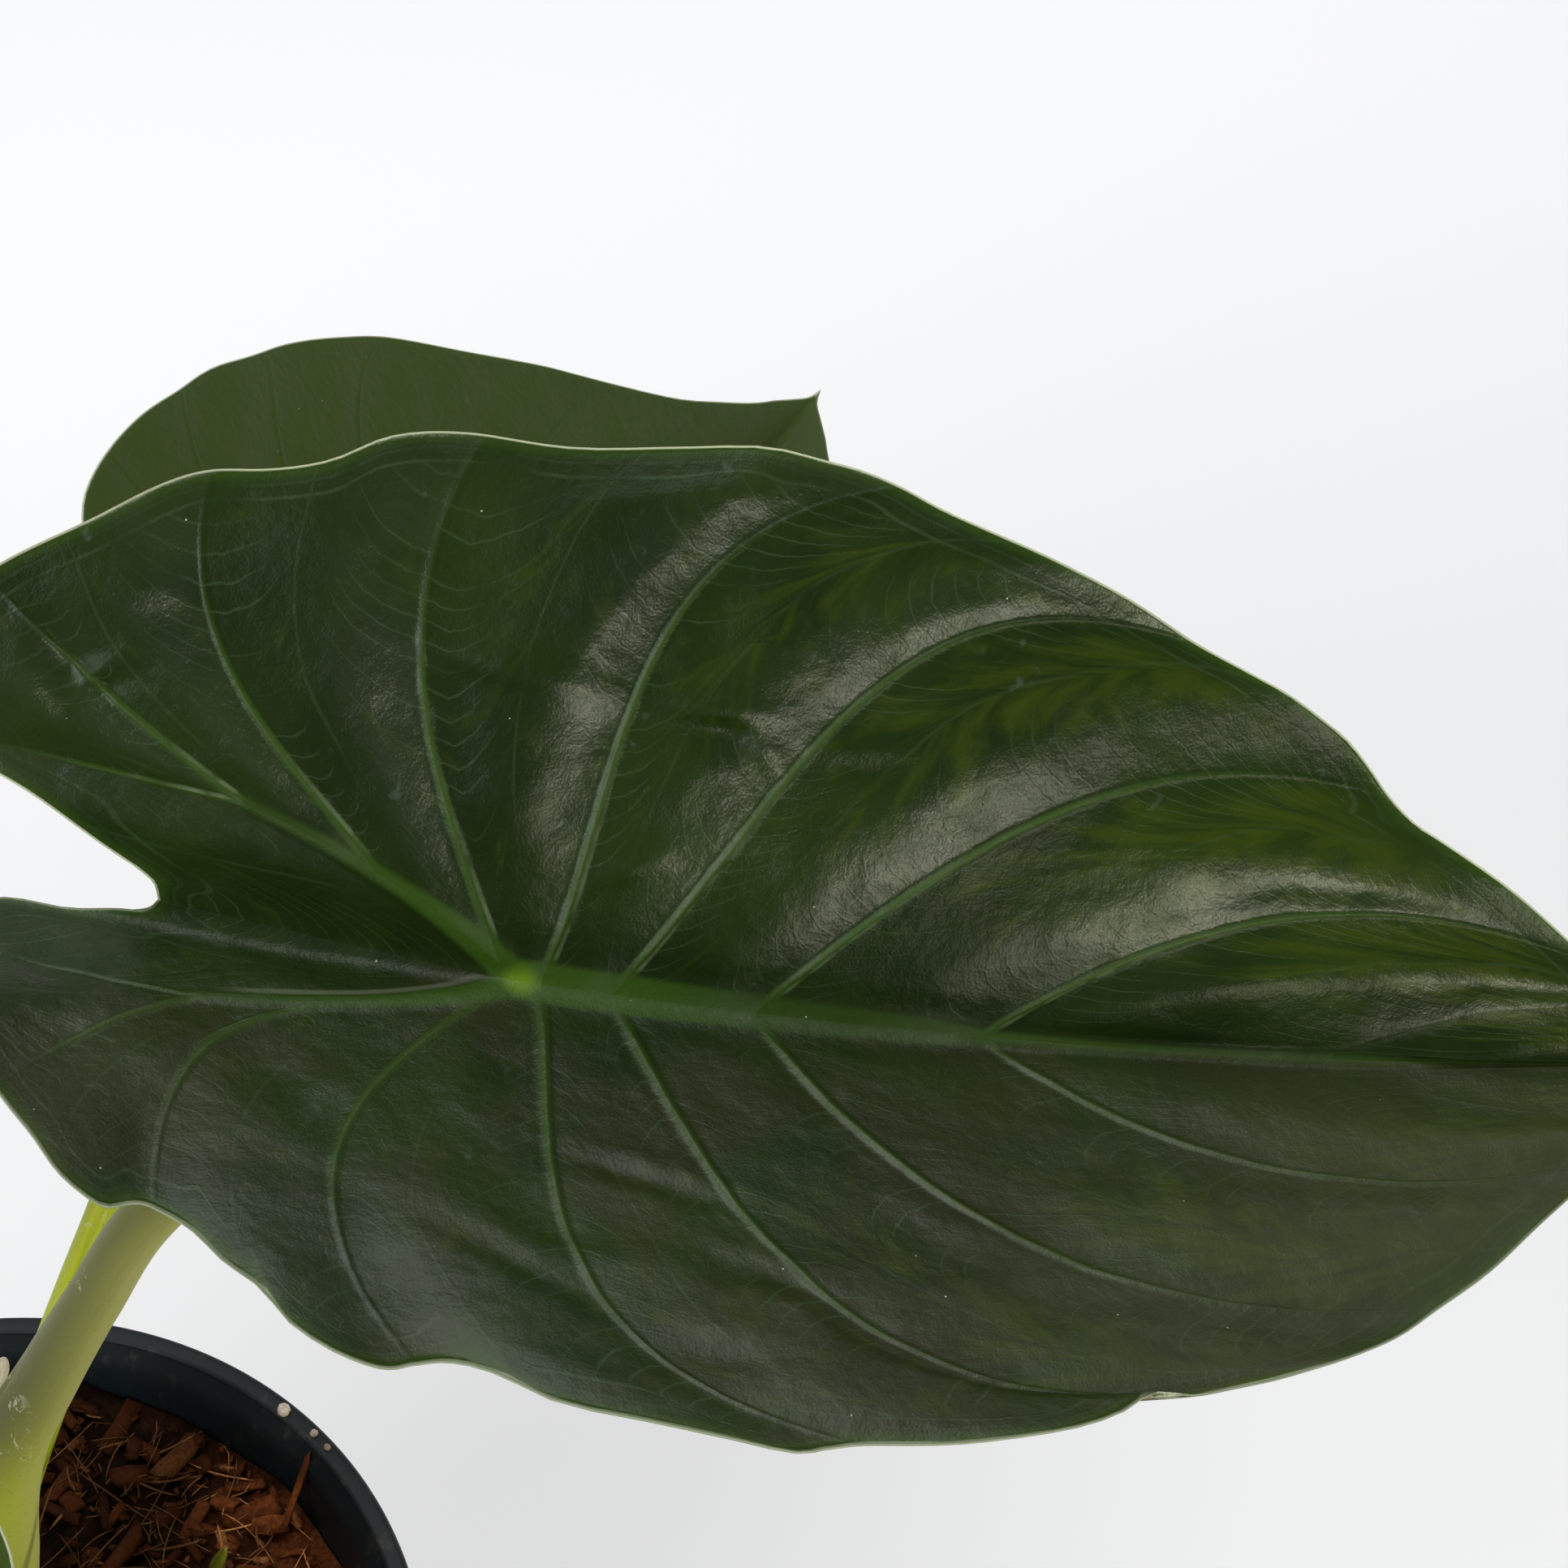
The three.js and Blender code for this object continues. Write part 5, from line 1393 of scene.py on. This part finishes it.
    def large_bits(self, look, draw):
        """A splinter that leans on the pot's wall and a few big chips, each a cube pulled out
        between two ends."""
        skin, quads = cube_skin()
        rows = np.array(LARGE_BITS, float)
        start, end, width, depth = rows[:, :3], rows[:, 3:6], rows[:, 6], rows[:, 7]
        ahead = unit(end - start)
        aside = unit(np.cross((0, 0, 1.0), ahead))
        above = np.cross(ahead, aside)
        bumps = lattice_noise(skin[None] + 3.7 * np.arange(len(rows))[:, None, None], 0.7, 12)
        cubes = skin * (1 + 0.3 * bumps[..., None])
        half = np.linalg.norm(end - start, axis=1) / 2
        shapes = sum(cubes[..., axis, None] * (size[:, None] * line)[:, None] for axis, size, line in
                     ((0, half, ahead), (1, width, aside), (2, depth, above)))
        material = self.finish("large_bark", toned(look.bark_colour, 0.5), look.bark_colour,
                               look.coir_colour)
        self.bits("large_bark_chips", (start + end) / 2, shapes, quads, draw, material)


class ALOCASIA_OT_leaves(bpy.types.Operator):
    """Makes the four blades with their ribs, veins, quilting, wrinkles and waved margins"""

    bl_idname = "alocasia.leaves"
    bl_label = "Leaves"

    def execute(self, context):
        look = context.scene.alocasia_leaf
        clear, faint = ([blade_finish(look, upper, contrast) for upper in (True, False)]
                        for contrast in (1, 0.45))
        for name, leaf in LEAVES.items():
            blade_piece(name, leaf, clear if leaf["fine"] else faint)
        return {"FINISHED"}


class ALOCASIA_OT_petioles(bpy.types.Operator):
    """Makes the four petioles, each with the open sheath of its lower half"""

    bl_idname = "alocasia.petioles"
    bl_label = "Petioles"

    def execute(self, context):
        look = context.scene.alocasia_stem
        pale = petiole_finish("petiole_pale", look.colour, look.shade, look.lime)
        fresh = petiole_finish("petiole_fresh", toned(look.lime, 0.68), look.shade, look.lime, 0.0)
        for name, petiole in PETIOLES.items():
            leaf = LEAVES[petiole["leaf"]]
            keel = place_blade(leaf, np.zeros((1, 2)), np.full(1, -KEEL_REACH))[0]
            route = [*petiole["route"], tuple(keel)]
            material = fresh if name == "petiole_2" else pale
            stem_piece(name + "_stem", route, petiole["widths"], material, look.rings,
                       look.sides, petiole_shape, node=name)
        return {"FINISHED"}


class ALOCASIA_OT_crown(bpy.types.Operator):
    """Makes the corm with its bud, the dry sheath and the young shoot"""

    bl_idname = "alocasia.crown"
    bl_label = "Crown"

    def execute(self, context):
        look = context.scene.alocasia_stem
        self.corm(look)
        self.dry_sheath()
        fresh = petiole_finish("shoot_skin", look.lime, look.shade, look.lime)
        stem_piece("young_shoot_spear", SHOOT_ROUTE, SHOOT_WIDTHS, fresh, 40, 24,
                   node="young_shoot")
        return {"FINISHED"}

    @staticmethod
    def corm(look):
        """Turned column whose radius falls in steps, one for each old leaf scar, up to the bud."""
        table = [(CORM_FOOT, CORM_RADIUS + 3), (CORM_FOOT + 9, CORM_RADIUS + 0.5),
                 (CORM_FOOT + 14, CORM_RADIUS), (CORM_FOOT + 38, CORM_RADIUS - 0.5),
                 (CORM_TOP - 12, CORM_RADIUS - 1), (CORM_TOP - 4, CORM_RADIUS - 3),
                 (CORM_TOP, BUD_RADIUS), (CORM_TOP + BUD_LENGTH / 2, 0.8 * BUD_RADIUS),
                 (CORM_TOP + 0.9 * BUD_LENGTH, 0.4 * BUD_RADIUS), (CORM_TOP + BUD_LENGTH, 0)]
        height = np.concatenate([[CORM_FOOT], np.linspace(CORM_FOOT, CORM_TOP + BUD_LENGTH, 200)])
        radius = straight(table, height)[:, 0]
        scars = np.exp(-((height % 7.5) / 0.7) ** 2) * np.clip((CORM_TOP - height) / 8, 0, 1)
        radius = radius * (1 - 0.07 * scars)
        radius[0] = radius[-1] = 0
        grid = turned(np.column_stack([radius, height]), 72)
        angle = np.linspace(0, 2 * np.pi, 73)
        ripple = 1 + 0.012 * np.cos(9 * angle) + 0.008 * np.cos(23 * angle)
        grid[..., :2] *= ripple[None, :, None]
        grid[:, -1] = grid[:, 0]
        skin = Finish("corm_skin", IOR=1.4)
        where = skin.place()
        rings = skin.noise(skin.scaled(where, (1, 1, 5)), 120, 3)
        colour = skin.blend(skin.step(rings, 0.35, 0.65), opaque(look.shade), opaque(CORM_SCAR))
        fresh = skin.step(skin.split(where)[2], (CORM_TOP - 10) * MM, (CORM_TOP + 2) * MM)
        colour = skin.blend(fresh, colour, opaque(look.lime))
        material = skin.finish(colour, skin.step(rings, -1, 1, 0.7), skin.bump(rings, 0.3, 0.8))
        grid_piece("corm_column", grid, material, "corm")

    @staticmethod
    def dry_sheath():
        """Papery stem: a thin oval with deep lengthwise creases that open towards the tip."""

        def creases(angle, share):
            """Radius share with creases of two widths."""
            fold = 0.09 * np.cos(5 * angle + 2 * share) + 0.05 * np.cos(11 * angle - 5 * share)
            return 1 + fold * (0.4 + share) - 0.12

        skin = Finish("dry_sheath_skin", IOR=1.4)
        stem_map, (_, along, _) = skin.attribute("stem_map")
        streaks = skin.noise(skin.scaled(stem_map, (70, 0, 0.03)), 1.0, 3, 0.65)
        colour = skin.blend(skin.step(streaks, 0.35, 0.7), opaque(SHEATH_DARK), opaque(SHEATH_LIGHT))
        colour = skin.blend(skin.step(along, 0.86, 0.96), colour, opaque(SHEATH_TIP))
        material = skin.finish(colour, skin.step(streaks, -1, 1, 0.85), skin.bump(streaks, 0.3, 0.9))
        stem_piece("dry_sheath_scale", SHEATH_ROUTE, SHEATH_WIDTHS, material, 120, 60,
                   creases, node="dry_sheath")


class ALOCASIA_OT_stage(bpy.types.Operator):
    """Makes the floor, the lights and the camera"""

    bl_idname = "alocasia.stage"
    bl_label = "Stage"

    def execute(self, context):
        look = context.scene.alocasia_stage
        self.floor(look)
        self.room(look)
        self.light("top_light", (0.1, 0.6, 2.3), (0.1, 0.3, 0), (1.8, 1.8), look.top_power)
        self.light("fill_light", (-0.75, -1.05, 1.2), (0.1, 0.05, 0.35), (1.1, 1.1), look.fill_power)
        self.light("low_light", (0.53, -0.53, 0.3), (0.2, 0, 0.38), (0.1, 0.16), look.low_power,
                   WARM_LIGHT)
        self.camera()
        context.scene.view_settings.view_transform = "Standard"
        return {"FINISHED"}

    @staticmethod
    def floor(look):
        """Flat grid just below the pot's foot. Its colour is a little darker near the camera and to the
        right, a painted shade, and it gives light by itself, less of it in front of the plant."""
        line = np.linspace(-FLOOR_REACH, FLOOR_REACH, FLOOR_STEPS)
        x, y = np.meshgrid(line, line, indexing="ij")
        points = np.stack([x, y, 0 * x - FLOOR_DROP], -1).reshape(-1, 3) * MM
        mesh = bpy.data.meshes.new("floor")
        mesh.from_pydata(points.tolist(), [], grid_quads(FLOOR_STEPS, FLOOR_STEPS).tolist())
        floor = bpy.data.objects.new("floor", mesh)
        bpy.context.scene.collection.objects.link(floor)
        paper = Finish("floor_paper", IOR=1.3, Roughness=0.9)
        along, away, _ = paper.split(paper.place())
        # Painted shade: the floor's colour is darker near the camera and to the right.
        depth = paper.math("SUBTRACT", away, paper.math("MULTIPLY", along, 0.35))
        tone = paper.blend(paper.step(depth, 0.2, 0.75), opaque(look.floor_colour, 0.88),
                           opaque(look.floor_colour))
        mesh.materials.append(paper.finish(tone))
        paper.feed(paper.surface.inputs["Emission Color"], tone)
        glow = paper.put("ShaderNodeMapRange", {"interpolation_type": "SMOOTHSTEP"},
                         {0: away, 1: -1.2, 2: 0.1, 3: 0.4 * look.glow, 4: look.glow})
        paper.feed(paper.surface.inputs["Emission Strength"], glow.outputs[0])
        floor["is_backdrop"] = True

    @staticmethod
    def room(look):
        """Even light from all round, weaker from the front than from behind."""
        world = bpy.data.worlds.new("room")
        bpy.context.scene.world = world
        world.use_nodes = True
        tree = world.node_tree
        background = tree.nodes["Background"]
        background.inputs["Color"].default_value = opaque(ROOM_LIGHT)
        towards = tree.nodes.new("ShaderNodeSeparateXYZ")
        tree.links.new(tree.nodes.new("ShaderNodeTexCoord").outputs["Generated"], towards.inputs[0])
        fall = tree.nodes.new("ShaderNodeMapRange")
        tree.links.new(towards.outputs[1], fall.inputs[0])
        for socket, value in {1: -0.6, 2: 0.8, 3: 0.3 * look.room, 4: look.room}.items():
            fall.inputs[socket].default_value = value
        tree.links.new(fall.outputs[0], background.inputs["Strength"])

    @staticmethod
    def camera():
        """Camera at its place, looking down along the Y axis."""
        lens = bpy.data.cameras.new("camera")
        lens.sensor_width = SENSOR
        lens.lens = FOCAL_SHARE * SENSOR
        lens.clip_end = CLIP_END
        camera = bpy.data.objects.new("camera", lens)
        camera.location = np.array(CAMERA_PLACE) * MM
        camera.rotation_euler = (math.radians(90 - CAMERA_DOWN), 0, 0)
        bpy.context.scene.collection.objects.link(camera)
        bpy.context.scene.camera = camera

    @staticmethod
    def light(name, place, aim, size, power, colour=(1, 1, 1)):
        """Rectangular soft light at a place, turned to face a point, in metres."""
        lamp = bpy.data.lights.new(name, "AREA")
        lamp.shape = "RECTANGLE"
        lamp.size, lamp.size_y = size
        lamp.energy = power
        lamp.color = colour
        holder = bpy.data.objects.new(name, lamp)
        bpy.context.scene.collection.objects.link(holder)
        holder.location = place
        back = unit(np.array(place) - np.array(aim))
        level = unit(np.cross((0, 0, 1.0), back))
        up = np.cross(back, level)
        holder.rotation_euler = Matrix(np.array([level, up, back]).T.tolist()).to_euler()
        holder.visible_camera = False


class ALOCASIA_PT_panel(bpy.types.Panel):
    """Lists the pieces of the plant"""

    bl_idname = "ALOCASIA_PT_panel"
    bl_label = "Alocasia"
    bl_space_type = "VIEW_3D"
    bl_region_type = "UI"
    bl_category = "Alocasia"

    def draw(self, context):
        for operator, settings in STEPS:
            box = self.layout.box()
            box.operator(operator)
            group = getattr(context.scene, settings)
            for key in group.bl_rna.properties.keys():
                if key not in ("rna_type", "name"):
                    box.prop(group, key)


STEPS = [
    ("alocasia.stage", "alocasia_stage"),
    ("alocasia.pot", "alocasia_pot"),
    ("alocasia.soil", "alocasia_soil"),
    ("alocasia.leaves", "alocasia_leaf"),
    ("alocasia.petioles", "alocasia_stem"),
    ("alocasia.crown", "alocasia_stem"),
]
SETTINGS = {
    "alocasia_stage": StageLook,
    "alocasia_pot": PotLook,
    "alocasia_soil": SoilLook,
    "alocasia_leaf": LeafLook,
    "alocasia_stem": StemLook,
}
CLASSES = (
    PotLook, SoilLook, LeafLook, StemLook, StageLook, ALOCASIA_OT_stage, ALOCASIA_OT_pot,
    ALOCASIA_OT_soil, ALOCASIA_OT_leaves, ALOCASIA_OT_petioles, ALOCASIA_OT_crown,
    ALOCASIA_PT_panel,
)


def register():
    for item in CLASSES:
        bpy.utils.register_class(item)
    for name, group in SETTINGS.items():
        setattr(bpy.types.Scene, name, bpy.props.PointerProperty(type=group))


def unregister():
    for name in SETTINGS:
        delattr(bpy.types.Scene, name)
    for item in reversed(CLASSES):
        bpy.utils.unregister_class(item)


def main():
    """Builds every piece in order."""
    register()
    for operator, _ in STEPS:
        group, name = operator.split(".")
        getattr(getattr(bpy.ops, group), name)()
    boxes = {"cad": CAD_BOX, "visual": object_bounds()}
    sizes = {title: [list(map(float, corner)) for corner in box] for title, box in boxes.items()}


if __name__ == "__main__":
    main()
